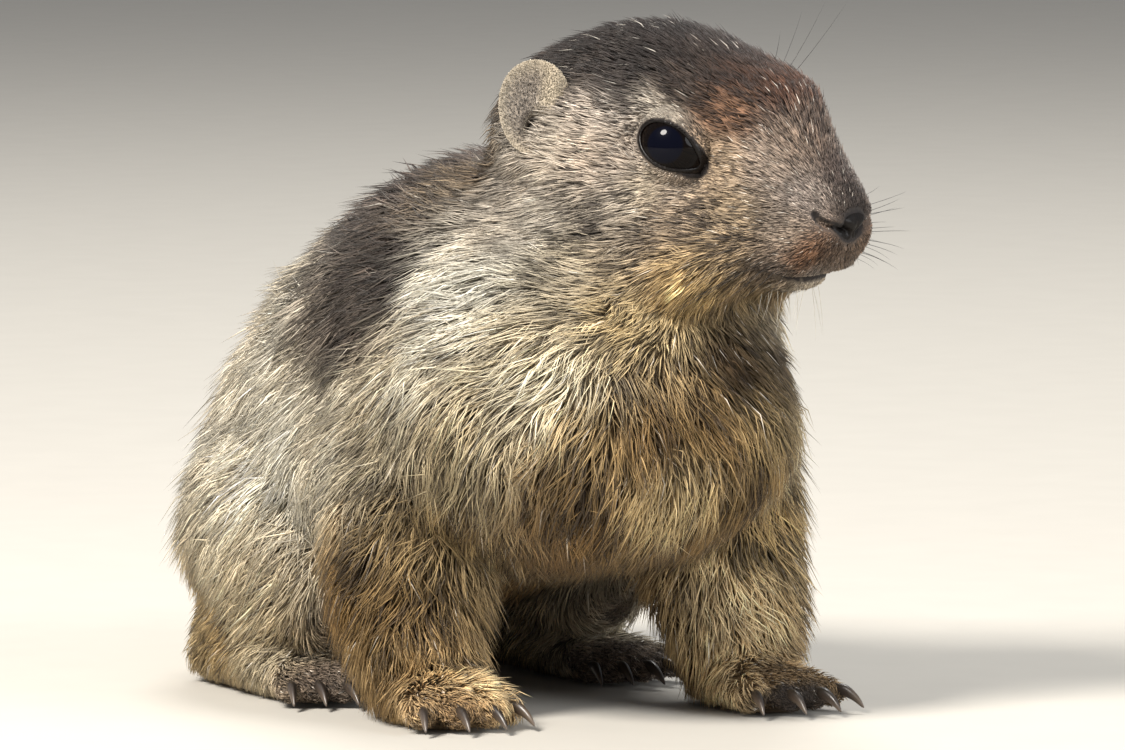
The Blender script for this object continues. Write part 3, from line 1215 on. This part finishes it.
def coat_roots(regions, density_of, settings, rng):
    """Roots on the named regions with their normals, what the map says of each, and its share of length."""
    corners, normals = SKIN.corners, SKIN.normals
    middle = SKIN.points[corners].mean(1)
    wanted = np.isin(region_of(middle, SKIN.space), regions)
    wanted = wanted * (bare(middle, SKIN.space, settings.head) > 0)
    sizes, _, _, _ = SKIN.coat_map.read(middle, normals[corners[:, 0]])
    density = density_of(settings.coat, sizes[:, 0], middle) * wanted
    density = density * (middle[:, 2] > GROUND_GAP)
    at, out = drawn_roots(SKIN.points, corners, normals, density, rng)
    short = bare(at, SKIN.space, settings.head)
    keep = short > 0
    return [found[keep] for found in (at, out, *SKIN.coat_map.read(at, out), short)]


def grow_coat(regions, group, density_of, settings, seed):
    """Grows the coat of the named regions, drawn together by groups of tufts, and makes its pieces."""
    rng = np.random.default_rng(seed)
    space, coat = SKIN.space, settings.coat
    at, out, sizes, root, tip, lie, short = coat_roots(regions, density_of, settings, rng)
    swing = coat.swing * rng.normal(0, 1, len(at))
    loose = smoothstep(4, 13, sizes[:, 0])
    swing += loose * (np.radians(15) * waves(at, 11, seed + 1) + np.radians(13) * waves(at, 5, seed + 2))
    swing *= 1 + 2.2 * (rng.uniform(size=len(at)) < 0.05)
    lie = turned_about(lie, out, swing)
    length = sizes[:, 0] * short * rng.uniform(0.7, 1.2, len(at)) * coat.length_scale
    rise = sizes[:, 2] + rng.normal(0, 4, len(at)) + 12 * (rng.uniform(size=len(at)) < 0.06)
    # near the floor no tuft is longer than it stands high
    length = np.minimum(length, np.maximum(at[:, 2] * 1.1, 1.2))
    curl = loose * rng.normal(0, 0.3, len(at))
    path, ups = hair_paths(at, out, lie, length, rise, SKIN.tree, curl)
    if "head" in regions:
        # no tuft lies across an eye, a nostril or the mouth
        ends = np.minimum(bare(path[:, -1], space, settings.head), bare(path[:, 1], space, settings.head))
        keep = ends > 0
        at, sizes, root, tip, path, ups = (v[keep] for v in (at, sizes, root, tip, path, ups))
    path, lock = drawn_together(path, ups, at, sizes[:, 3], group, rng)
    path[..., 2] = np.maximum(path[..., 2], 0.25)
    half = sizes[:, 1] * rng.uniform(0.75, 1.2, len(at)) * coat.width_scale * 1
    colours = hair_colours(at, sizes, root, tip, TUFT_STEPS + 1, rng, coat.silver, lock)
    place = region_of(at, space)
    per_tuft = 4 + 6 * (TUFT_STEPS - 1)
    surface = bpy.data.materials.get("marmot_hair") or hair_material()
    for name in regions:
        here = np.flatnonzero(place == name)
        if not len(here):
            continue
        order = here[np.argsort(chart(at[here], name)[:, 1], kind="stable")]
        parts = math.ceil(len(order) * per_tuft / LIMIT)
        for k, some in enumerate(np.array_split(order, parts)):
            title = f"coat_{name}" + (f"_{k + 1}" if parts > 1 else "")
            uv = fitted(chart(at[some], name))
            tuft_piece(title, path[some], ups[some], half[some], colours[some], uv, surface, slot_of(name))


def head_density(coat, length, at):
    """Tufts on a square millimetre of the head, more where the hair is short."""
    return coat.head_tufts * np.clip(4 / length, 0.7, 1.9)


def body_density(coat, length, at):
    """Tufts on a square millimetre of the body, more where the hair is short, fewer between the legs."""
    between = (at[:, 2] < 26) * (np.abs(at[:, 0]) < 24)
    return coat.body_tufts * np.clip(14 / length, 0.8, 3.2) * (1 - 0.5 * between)


def slot_of(region):
    return {"head": "fur_crown", "neck": "fur_grey", "body": "fur_grey"}.get(region, "fur_buff")


# Eyes, lids, nose, ears, claws and whiskers


def side_name(side):
    return "left" if side > 0 else "right"


def to_frame(points, side, space):
    """Points in the left half of the head's frame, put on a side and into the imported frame."""
    return space.packed(space.to_body(points * [side, 1, 1]))


def build_eye(side, settings):
    """A ball with a bulging cornea, dark all over."""
    sizes, space = settings.head, SKIN.space
    ball = sizes.eye_radius / MM
    bm = bmesh.new()
    bmesh.ops.create_uvsphere(bm, u_segments=64, v_segments=48, radius=1)
    unit_ball = points_of(bm.verts)
    off_axis = np.degrees(np.arccos(np.clip(unit_ball[:, 2], -1, 1)))
    radius = ball + 0.35 * np.exp(-((off_axis / 34) ** 4))  # the cornea's bulge
    points = (unit_ball * radius[:, None]) @ facing(EYE_LOOK, EYE_LIFT).T + EYE_CENTRE
    move(bm.verts, to_frame(points, side, space))
    mesh = closed(bm, "eye")
    attribute(mesh, "across", np.clip(off_axis / 60, 0, 1))
    attribute(mesh, "turn", np.arctan2(unit_ball[:, 1], unit_ball[:, 0]))
    name = side_name(side)
    surface = bpy.data.materials.get("marmot_eye") or eye_material()
    return finished(mesh, f"marmot_eye_{name}", surface, [f"eye_{name}"])


def ring_mesh(steps, sides):
    """A ring round Z of radius 1 whose section is a small circle, as (bmesh, angle, section x, section z)."""
    bm = bmesh.new()
    made = bmesh.ops.create_circle(bm, segments=sides, radius=0.1)
    bmesh.ops.rotate(bm, verts=made["verts"], cent=(0, 0, 0), matrix=Matrix.Rotation(math.pi / 2, 3, "X"))
    bmesh.ops.translate(bm, verts=made["verts"], vec=(1, 0, 0))
    whole = {"cent": (0, 0, 0), "axis": (0, 0, 1), "angle": 2 * math.pi, "use_merge": True}
    bmesh.ops.spin(bm, geom=bm.verts[:] + bm.edges[:], steps=steps, **whole)
    bmesh.ops.remove_doubles(bm, verts=bm.verts, dist=1e-5)
    points = points_of(bm.verts)
    angle = np.arctan2(points[:, 1], points[:, 0])
    return bm, angle, (np.hypot(points[:, 0], points[:, 1]) - 1) / 0.1, points[:, 2] / 0.1


def rim_line(angle, sizes):
    """The eye's opening as x and y in its own frame, its front corner drawn out low."""
    a, b = sizes.eye_half_length / MM, sizes.eye_half_height / MM
    x, y = np.cos(angle), np.sin(angle)
    corner = np.clip(-x, 0, 1) ** 6
    return x * a - corner * 1.6, y * b - corner * 0.4


def build_lids(side, settings):
    """The bare rims of the lids, thicker above, close round the eyeball."""
    sizes, space = settings.head, SKIN.space
    ball = sizes.eye_radius / MM + 0.1
    bm, angle, across, lift = ring_mesh(96, 12)
    x, y = rim_line(angle, sizes)
    out = unit(np.stack([x, y], 1))
    wide = 0.42 + 0.12 * np.clip(np.sin(angle), 0, 1) + 0.45 * np.clip(-np.cos(angle), 0, 1) ** 6
    thick = 0.26 + 0.1 * np.clip(np.sin(angle), 0, 1)
    x, y = x + out[:, 0] * (0.2 + across * wide), y + out[:, 1] * (0.2 + across * wide)
    flat = np.minimum(np.hypot(x, y), ball * 0.985)
    z = np.sqrt(ball**2 - flat**2) + 0.12 + lift * thick + 0.12 * across
    points = np.stack([x, y, z], 1) @ facing(EYE_LOOK, EYE_LIFT).T + EYE_CENTRE
    move(bm.verts, to_frame(points, side, space))
    wet = ("marmot_lid_skin", "#060404", "#120d0b", 0.38, 0.18)
    surface = bpy.data.materials.get(wet[0]) or leather_material(*wet)
    return finished(closed(bm, "lids"), f"marmot_lids_{side_name(side)}", surface)


def build_nose():
    """The bare pad with its nostrils and the groove between them."""
    space = SKIN.space
    centre, radii = NOSE_PAD
    bm = bmesh.new()
    bmesh.ops.create_uvsphere(bm, u_segments=96, v_segments=72, radius=1)
    bmesh.ops.rotate(bm, verts=bm.verts, cent=(0, 0, 0), matrix=Matrix.Rotation(math.pi / 2, 3, "X"))
    ball = points_of(bm.verts)
    points = ball * radii + centre
    normals = unit(ball / radii)
    sink = 0.55 * np.exp(-((points[:, 0] / 0.45) ** 2)) * smoothstep(-1, -4.5, points[:, 2])
    for side in (-1, 1):
        mirrored = points * [side, 1, 1]
        gap, _ = gap_to_line(mirrored, SKIN.nostril)
        sink += 2.2 * np.exp(-((gap / 1.1) ** 2))
        wing, _ = gap_to_line(mirrored - [0.2, 0, 1.7], SKIN.nostril)
        sink -= 0.3 * np.exp(-((wing / 0.9) ** 2))
    move(bm.verts, space.packed(space.to_body(points - normals * sink[:, None])))
    surface = leather_material("marmot_nose_leather", "#080605", "#191310", 0.5, 0.06)
    return finished(closed(bm, "nose"), "marmot_nose", surface, ["nose"])


def ear_shape(ball):
    """A rounded cup from a flattened ball: hollow in front, the canal low in it, with a lobe and a fold."""
    x, y, z = ball.T
    r = np.hypot(x, y)
    px = x * EAR_HALF_WIDTH * (1 + 0.14 * y)
    py = y * np.where(y > 0, EAR_REACH_UP, EAR_REACH_DOWN)
    hollow = 1.1 * r**2.4 - 0.5
    canal = np.exp(-(((px + 0.9) / 1.5) ** 2) - (((py + 3.6) / 1.8) ** 2))
    lobe = np.exp(-(((px + 2.8) / 1.7) ** 2) - (((py + 7.0) / 1.6) ** 2))
    fold = np.exp(-(((px + 3.6) / 1.7) ** 2)) * smoothstep(-3.5, 0.5, py)
    front = hollow - 3.6 * canal + 1.0 * lobe + 1.3 * fold
    thick = 1.4 * np.sqrt(np.clip(1 - r**2, 0, 1)) + 0.35 * (1 - r**4)
    back = hollow - thick - 3.2 * np.exp(-((px + 0.9) ** 2 + (py + 3.6) ** 2) / 11)
    return np.stack([px, py, np.where(z > 0, front, back)], 1), canal, lobe


def ear_edge(places):
    """0 in the middle of an ear and 1 on its rim, for places in its own frame."""
    return np.hypot(places[:, 0] / (EAR_HALF_WIDTH + 0.1 * places[:, 1]), places[:, 1] / 8.8)


def ear_colours(front, reach, shape, canal, lobe):
    """Pale on the rim and back, greyer in the cup, pink on the lobe and black in the canal."""
    cup = np.clip(front * (1 - reach[:, None] ** 3), 0, 1)
    layers = (
        ("#857b71", cup * smoothstep(-2.5, 0.5, shape[:, :1])),
        ("#9a7468", np.clip(lobe * 0.8, 0, 1)[:, None] * front),
        ("#140e0c", np.clip(canal * 1.6, 0, 1)[:, None] * front),
    )
    made = rgb("#aea28f")
    for code, share in layers:
        made = made * (1 - share) + rgb(code) * share
    return np.hstack([made, np.ones((len(made), 1))])


def build_ear(side):
    """The skin of an ear, and its coat."""
    bm = bmesh.new()
    bmesh.ops.create_uvsphere(bm, u_segments=72, v_segments=80, radius=1)
    ball = points_of(bm.verts)
    reach = np.hypot(ball[:, 0], ball[:, 1])
    # rings crowd towards the rim, where the two faces meet
    ball[:, :2] *= (np.minimum(reach, 1) ** 0.9 / np.maximum(reach, 1e-9))[:, None]
    shape, canal, lobe = ear_shape(ball)
    points = shape @ facing(EAR_LOOK, EAR_LIFT).T + EAR_SEAT
    move(bm.verts, SKIN.space.to_body(points * [side, 1, 1]))
    mesh, name = closed(bm, "ear"), side_name(side)
    attribute(mesh, "coat_colour", ear_colours(ball[:, 2:] > 0, reach, shape, canal, lobe))
    hairs = ear_hairs(mesh, shape, canal, side)
    skin = bpy.data.materials["marmot_underfur"]
    finished(mesh, f"marmot_ear_{name}", skin, [f"ear_{name}"], SKIN.space)
    surface = bpy.data.materials.get("marmot_hair") or hair_material()
    tuft_piece(f"coat_ear_{name}", *hairs, surface, "ear_fur")


def ear_hairs(mesh, shape, canal, side):
    """Paths, normals, half widths, colours and places of the short hair on an ear: pale on the rim and
    back, grey in the cup, none in the canal."""
    rng = np.random.default_rng(31 + side)
    points, normals, corners = vertex_values(mesh, "co"), vertex_values(mesh, "normal"), triangles(mesh)
    edge = ear_edge(shape[corners].mean(1))
    clear = canal[corners].mean(1) < 0.22
    density = np.where(edge < 0.97, 9.0, 7.0) * clear * 1
    at, out = drawn_roots(points, corners, normals, density, rng)
    basis = facing(EAR_LOOK, EAR_LIFT)
    local = (SKIN.space.to_head(at) * [side, 1, 1] - EAR_SEAT) @ basis
    edge = ear_edge(local)
    inner = (local[:, 2] > 1.1 * edge**2.4 - 0.9) & (edge < 0.93)
    front = inner & (local[:, 0] < -0.6)
    # the hair fans out from the canal, up and down and towards the back
    fan = np.stack([local[:, 0] * 0.6 + 1.2, np.abs(local[:, 1] + 4) + 2.5, np.zeros(len(local))], 1)
    way = SKIN.space.turned((unit(fan) @ basis.T) * [side, 1, 1])
    lie = turned_about(along_skin(way, out), out, rng.normal(0, 0.28, len(at)))
    length = np.select([front, inner], [3.2, 2.4], 0.4) * rng.uniform(0.7, 1.2, len(at))
    length *= 1 - 0.7 * smoothstep(0.5, 0.9, edge)
    rise = np.select([front, inner], [26.0, 22.0], 5.0) + rng.normal(0, 4, len(at))
    shade = inner * (1 - smoothstep(0.6, 0.95, edge)) * smoothstep(-2.2, 0.2, local[:, 0])
    root = rgb("#7d746b") * shade[:, None] + rgb("#8d8270") * (1 - shade)[:, None]
    tip = rgb("#beb4a8") * shade[:, None] + rgb("#cfc6b6") * (1 - shade)[:, None]
    lift = np.radians(rise)[:, None]
    step = length[:, None] * (lie * np.cos(lift) + out * np.sin(lift))
    path = np.stack([at - out * 0.15, at + step * 0.5 + out * 0.06 * length[:, None], at + step], 1)
    sizes = np.stack([length, length, rise, rise, 0.03 + 0.2 * shade], 1)
    colours = hair_colours(at, sizes, root, tip, TUFT_STEPS + 1, rng, 0.03, np.arange(len(at)))
    uv = np.stack([local[:, 0] / 16 + 0.5, local[:, 1] / 24 + 0.5], 1)
    uv[:, 0] = uv[:, 0] * 0.5 + np.where(inner, 0.5, 0.0)
    half = 0.12 * rng.uniform(0.8, 1.2, len(at))
    return path, np.repeat(out[:, None], TUFT_STEPS + 1, 1), half, colours, uv


def build_claws(name):
    at, side = PAWS[name]
    bm, along = bmesh.new(), []
    for line in toe_lines(at, side, foot_of(name)):
        verts = add_mass(bm, claw_knots(line), 16, 24)
        root, way, length = line
        share = (points_of(verts) - root) @ way / length
        along += list(np.clip((share - 0.9) / 0.55, 0, 1))
    mesh = closed(bm, "claws")
    attribute(mesh, "along", np.array(along))
    surface = bpy.data.materials.get("marmot_claw_horn") or claw_material()
    replaced = [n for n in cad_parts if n.startswith(f"claw_{name}_")]
    return finished(mesh, f"marmot_claws_{name}", surface, replaced, SKIN.space)


def whisker_paths(rows):
    """Curved stiff hairs and their normals. A row: root, direction, length and sag, in the head's frame."""
    paths, ups = [], []
    share = np.linspace(0, 1, WHISKER_RINGS)[:, None]
    for root, way, length, sag in rows:
        way = unit(np.array(way, float))
        bend = np.array([0, 0.9, -0.35]) * sag * length
        path = np.array(root, float) + way * share * length + bend * share**2
        paths.append(path)
        ups.append(np.tile(unit(np.cross(way, [0.3, 0.2, 1.0])), (WHISKER_RINGS, 1)))
    return np.array(paths), np.array(ups)


def on_skin(points, space):
    """The nearest places on the skin, in the head's frame, just under the surface."""
    found = [SKIN.tree.find_nearest(Vector(space.to_body(np.array([p], float))[0])) for p in points]
    return space.to_head(np.array([f[0] for f in found]) - 0.4 * np.array([f[1] for f in found]))


def dark_whiskers(rng):
    """Four rows on each side of the muzzle, four hairs over each eye and three on each cheek."""
    made = []
    for side in (-1, 1):
        for row, z in enumerate((-3.5, -6.5, -9.5, -12)):
            for col in range(5):
                y = 5.5 + col * 2.6 + row * 0.3
                root = (side * 13, y, z + rng.normal(0, 0.3))
                length = (13 + 3.2 * col) * rng.uniform(0.85, 1.1)
                forward = -0.5 + 0.14 * col + rng.normal(0, 0.08)
                way = (side * 1.0, forward, 0.18 - 0.16 * row + rng.normal(0, 0.06))
                made.append((root, way, length, 0.25 + rng.uniform(0, 0.15)))
        for k in range(4):
            root = (side * (13 + k), 29 + 1.6 * k, 17)
            way = (side * (0.5 + 0.1 * k), -0.5 + 0.25 * k, 1.0)
            made.append((root, way, (20 - 2.5 * k) * rng.uniform(0.9, 1.1), 0.12))
        for k in range(3):
            made.append(((side * 22, 38 + 3 * k, -8 - k), (side * 1.0, 0.6, -0.4), 12 + 2 * k, 0.2))
    return made


def chin_hairs(rng):
    made = []
    for _ in range(16):
        x, y = rng.uniform(-6, 6), rng.uniform(7, 20)
        made.append(((x, y, -20), (x * 0.03, -0.1 + rng.normal(0, 0.15), -1.0), rng.uniform(6, 12), 0.1))
    return made


def build_whiskers():
    space, rng = SKIN.space, np.random.default_rng(7)
    for name, rows, code, half in (
        ("marmot_whiskers", dark_whiskers(rng), "#120e0d", 0.06),
        ("marmot_chin_hairs", chin_hairs(rng), "#e6dfd0", 0.055),
    ):
        roots = on_skin([r[0] for r in rows], space)
        paths, ups = whisker_paths([(p, *r[1:]) for p, r in zip(roots, rows)])
        placed = space.to_body(paths.reshape(-1, 3)).reshape(paths.shape)
        turned = space.turned(ups.reshape(-1, 3)).reshape(ups.shape)
        tint = np.tile(rgb(code), (*paths.shape[:2], 1))
        uv = np.random.default_rng(1).uniform(0.05, 0.95, (len(rows), 2))
        surface, wide = whisker_material(name, code), np.full(len(rows), half)
        tuft_piece(name, placed, turned, wide, tint, uv, surface, "fur_crown", flat=0.85)


# Stage


def build_stage(settings):
    stage = settings.stage
    bm = bmesh.new()
    bmesh.ops.create_circle(bm, cap_ends=True, segments=96, radius=stage.floor_radius)
    mesh = mesh_of(bm, "floor")
    made, tree, shader = material("studio_floor", {"Roughness": 0.8})
    base = list(stage.floor_colour) + [1.0]
    soft = [c * 0.97 for c in base[:3]] + [1.0]
    coloured(tree, shader, spread(tree, noise(tree, 60.0, 4.0), soft, base))
    mesh.materials.append(made)
    floor = bpy.data.objects.new("studio_floor", mesh)
    bpy.context.scene.collection.objects.link(floor)
    for name, place, size, share, colour in LAMPS:
        data = bpy.data.lights.new(name, "AREA")
        data.shape, data.size, data.energy, data.color = "DISK", size, stage.key_watts * share, colour
        lamp = bpy.data.objects.new(name, data)
        lamp.location = Vector(place)
        lamp.rotation_mode = "QUATERNION"
        lamp.rotation_quaternion = (Vector(LAMPS_AIM) - lamp.location).to_track_quat("-Z", "Y")
        bpy.context.scene.collection.objects.link(lamp)
    world = bpy.data.worlds.new("studio_air")
    world.use_nodes = True
    back = world.node_tree.nodes["Background"]
    back.inputs["Color"].default_value = (0.94, 0.96, 1.0, 1.0)
    back.inputs["Strength"].default_value = stage.air
    bpy.context.scene.world = world
    bpy.context.scene.view_settings.view_transform = "Standard"


def build_camera(settings):
    """At the photograph's angle, with its framing."""
    stage = settings.stage
    azimuth, elevation = stage.azimuth, stage.elevation
    level = math.cos(elevation)
    back = Vector((math.sin(azimuth) * level, -math.cos(azimuth) * level, math.sin(elevation)))
    centre = Vector(SKIN.space.packed(np.array(PHOTO_CENTRE)))
    data = bpy.data.cameras.new("photo_camera")
    data.sensor_width = SENSOR
    data.lens = SENSOR * stage.distance / PHOTO_WIDTH
    data.clip_start, data.clip_end = 0.05, 50
    camera = bpy.data.objects.new("photo_camera", data)
    camera.location = centre + back * stage.distance
    camera.rotation_mode = "QUATERNION"
    camera.rotation_quaternion = (-back).to_track_quat("-Z", "Y")
    bpy.context.scene.collection.objects.link(camera)
    bpy.context.scene.camera = camera


# Settings


class MarmotHead(PropertyGroup):
    turn: FloatProperty(
        name="Turn", description="Head to its left", default=math.radians(24), subtype="ANGLE"
    )
    dip: FloatProperty(name="Dip", description="Nose down", default=math.radians(10), subtype="ANGLE")
    roll: FloatProperty(name="Roll", description="Left side up", default=math.radians(4), subtype="ANGLE")
    nose_tip: FloatVectorProperty(
        name="Nose tip",
        description="Place of the nose tip in the animal's frame",
        default=(0.0315, -0.0575, 0.097),
        subtype="XYZ",
        unit="LENGTH",
    )
    eye_radius: FloatProperty(
        name="Eyeball", description="Radius of the eyeball", default=0.0076, unit="LENGTH"
    )
    eye_half_length: FloatProperty(
        name="Half length", description="Half the length of the eye's opening", default=0.0058, unit="LENGTH"
    )
    eye_half_height: FloatProperty(
        name="Half height", description="Half the height of the eye's opening", default=0.0039, unit="LENGTH"
    )


class MarmotCoat(PropertyGroup):
    depth: FloatProperty(name="Depth", description="Long coat over the skin", default=0.0049, unit="LENGTH")
    voxel: FloatProperty(
        name="Skin detail", description="Size of a face of the skin", default=0.0013, unit="LENGTH"
    )
    length_scale: FloatProperty(name="Length", description="Factor on every hair's length", default=1.0)
    width_scale: FloatProperty(name="Width", description="Factor on every tuft's width", default=1.04)
    swing: FloatProperty(
        name="Swing", description="Spread of the lie", default=math.radians(9), subtype="ANGLE"
    )
    silver: FloatProperty(name="Silver", description="Share of silver hairs", default=0.02, subtype="FACTOR")
    head_tufts: FloatProperty(
        name="Head tufts", description="Tufts on a square millimetre of head", default=7.0
    )
    body_tufts: FloatProperty(
        name="Body tufts", description="Tufts on a square millimetre of body", default=1.66
    )


class MarmotStage(PropertyGroup):
    azimuth: FloatProperty(
        name="Azimuth", description="Of the camera", default=math.radians(-30), subtype="ANGLE"
    )
    elevation: FloatProperty(
        name="Elevation", description="Of the camera", default=math.radians(5), subtype="ANGLE"
    )
    distance: FloatProperty(name="Distance", description="From camera to animal", default=1.8, unit="LENGTH")
    floor_radius: FloatProperty(name="Floor", description="Radius of the floor", default=14.0, unit="LENGTH")
    key_watts: FloatProperty(name="Key light", description="Power of the key light in watts", default=54.0)
    air: FloatProperty(name="Air", description="Strength of the light all round", default=0.35)
    floor_colour: FloatVectorProperty(
        name="Floor colour", description="Pale floor", default=linear("#b9b5ad")[:3], subtype="COLOR"
    )


class MarmotSettings(PropertyGroup):
    head: PointerProperty(type=MarmotHead)
    coat: PointerProperty(type=MarmotCoat)
    stage: PointerProperty(type=MarmotStage)


# Operators


class MARMOT_OT_skin(Operator):
    """Build the skin, one closed surface from nose to tail"""

    bl_idname = "marmot.skin"
    bl_label = "Skin"

    def execute(self, context):
        build_skin(context.scene.marmot)
        return {"FINISHED"}


class MARMOT_OT_eyes(Operator):
    """Build both eyeballs and the rims of their lids"""

    bl_idname = "marmot.eyes"
    bl_label = "Eyes"

    def execute(self, context):
        for side in (-1, 1):
            build_eye(side, context.scene.marmot)
            build_lids(side, context.scene.marmot)
        return {"FINISHED"}


class MARMOT_OT_nose(Operator):
    """Build the bare nose with its nostrils"""

    bl_idname = "marmot.nose"
    bl_label = "Nose"

    def execute(self, context):
        build_nose()
        return {"FINISHED"}


class MARMOT_OT_ears(Operator):
    """Build both ears with their short hair"""

    bl_idname = "marmot.ears"
    bl_label = "Ears"

    def execute(self, context):
        for side in (-1, 1):
            build_ear(side)
        return {"FINISHED"}


class MARMOT_OT_claws(Operator):
    """Build the claws of all four paws"""

    bl_idname = "marmot.claws"
    bl_label = "Claws"

    def execute(self, context):
        for name in PAWS:
            build_claws(name)
        return {"FINISHED"}


class MARMOT_OT_head_coat(Operator):
    """Grow the short coat of the head"""

    bl_idname = "marmot.head_coat"
    bl_label = "Head coat"

    def execute(self, context):
        grow_coat(["head"], 9, head_density, context.scene.marmot, 101)
        return {"FINISHED"}


class MARMOT_OT_body_coat(Operator):
    """Grow the long coat of the neck, body, legs and tail"""

    bl_idname = "marmot.body_coat"
    bl_label = "Body coat"

    def execute(self, context):
        regions = [name for name in CHARTS if name != "head"]
        grow_coat(regions, 15, body_density, context.scene.marmot, 202)
        return {"FINISHED"}


class MARMOT_OT_whiskers(Operator):
    """Build the whiskers, the long hairs over the eyes and the pale hairs of the chin"""

    bl_idname = "marmot.whiskers"
    bl_label = "Whiskers"

    def execute(self, context):
        build_whiskers()
        return {"FINISHED"}


class MARMOT_OT_stage(Operator):
    """Set up the pale floor, the soft studio light and the camera"""

    bl_idname = "marmot.stage"
    bl_label = "Stage"

    def execute(self, context):
        build_stage(context.scene.marmot)
        build_camera(context.scene.marmot)
        return {"FINISHED"}


class MARMOT_PT_panel(Panel):
    """Lists the pieces of the marmot and their sizes"""

    bl_label = "Marmot"
    bl_idname = "MARMOT_PT_panel"
    bl_space_type = "VIEW_3D"
    bl_region_type = "UI"
    bl_category = "Marmot"

    def draw(self, context):
        settings = context.scene.marmot
        for group in (settings.head, settings.coat, settings.stage):
            for name in group.__annotations__:
                self.layout.prop(group, name)
        for step in STEPS:
            self.layout.operator(step.bl_idname)


STEPS = (
    MARMOT_OT_skin,
    MARMOT_OT_eyes,
    MARMOT_OT_nose,
    MARMOT_OT_ears,
    MARMOT_OT_claws,
    MARMOT_OT_head_coat,
    MARMOT_OT_body_coat,
    MARMOT_OT_whiskers,
    MARMOT_OT_stage,
)
CLASSES = (MarmotHead, MarmotCoat, MarmotStage, MarmotSettings, *STEPS, MARMOT_PT_panel)


def register():
    for made in CLASSES:
        bpy.utils.register_class(made)
    bpy.types.Scene.marmot = PointerProperty(type=MarmotSettings)


def unregister():
    del bpy.types.Scene.marmot
    for made in reversed(CLASSES):
        bpy.utils.unregister_class(made)


def main():
    register()
    bpy.ops.marmot.skin()
    bpy.ops.marmot.eyes()
    bpy.ops.marmot.nose()
    bpy.ops.marmot.ears()
    bpy.ops.marmot.claws()
    bpy.ops.marmot.head_coat()
    bpy.ops.marmot.body_coat()
    bpy.ops.marmot.whiskers()
    bpy.ops.marmot.stage()


if __name__ == "__main__":
    main()
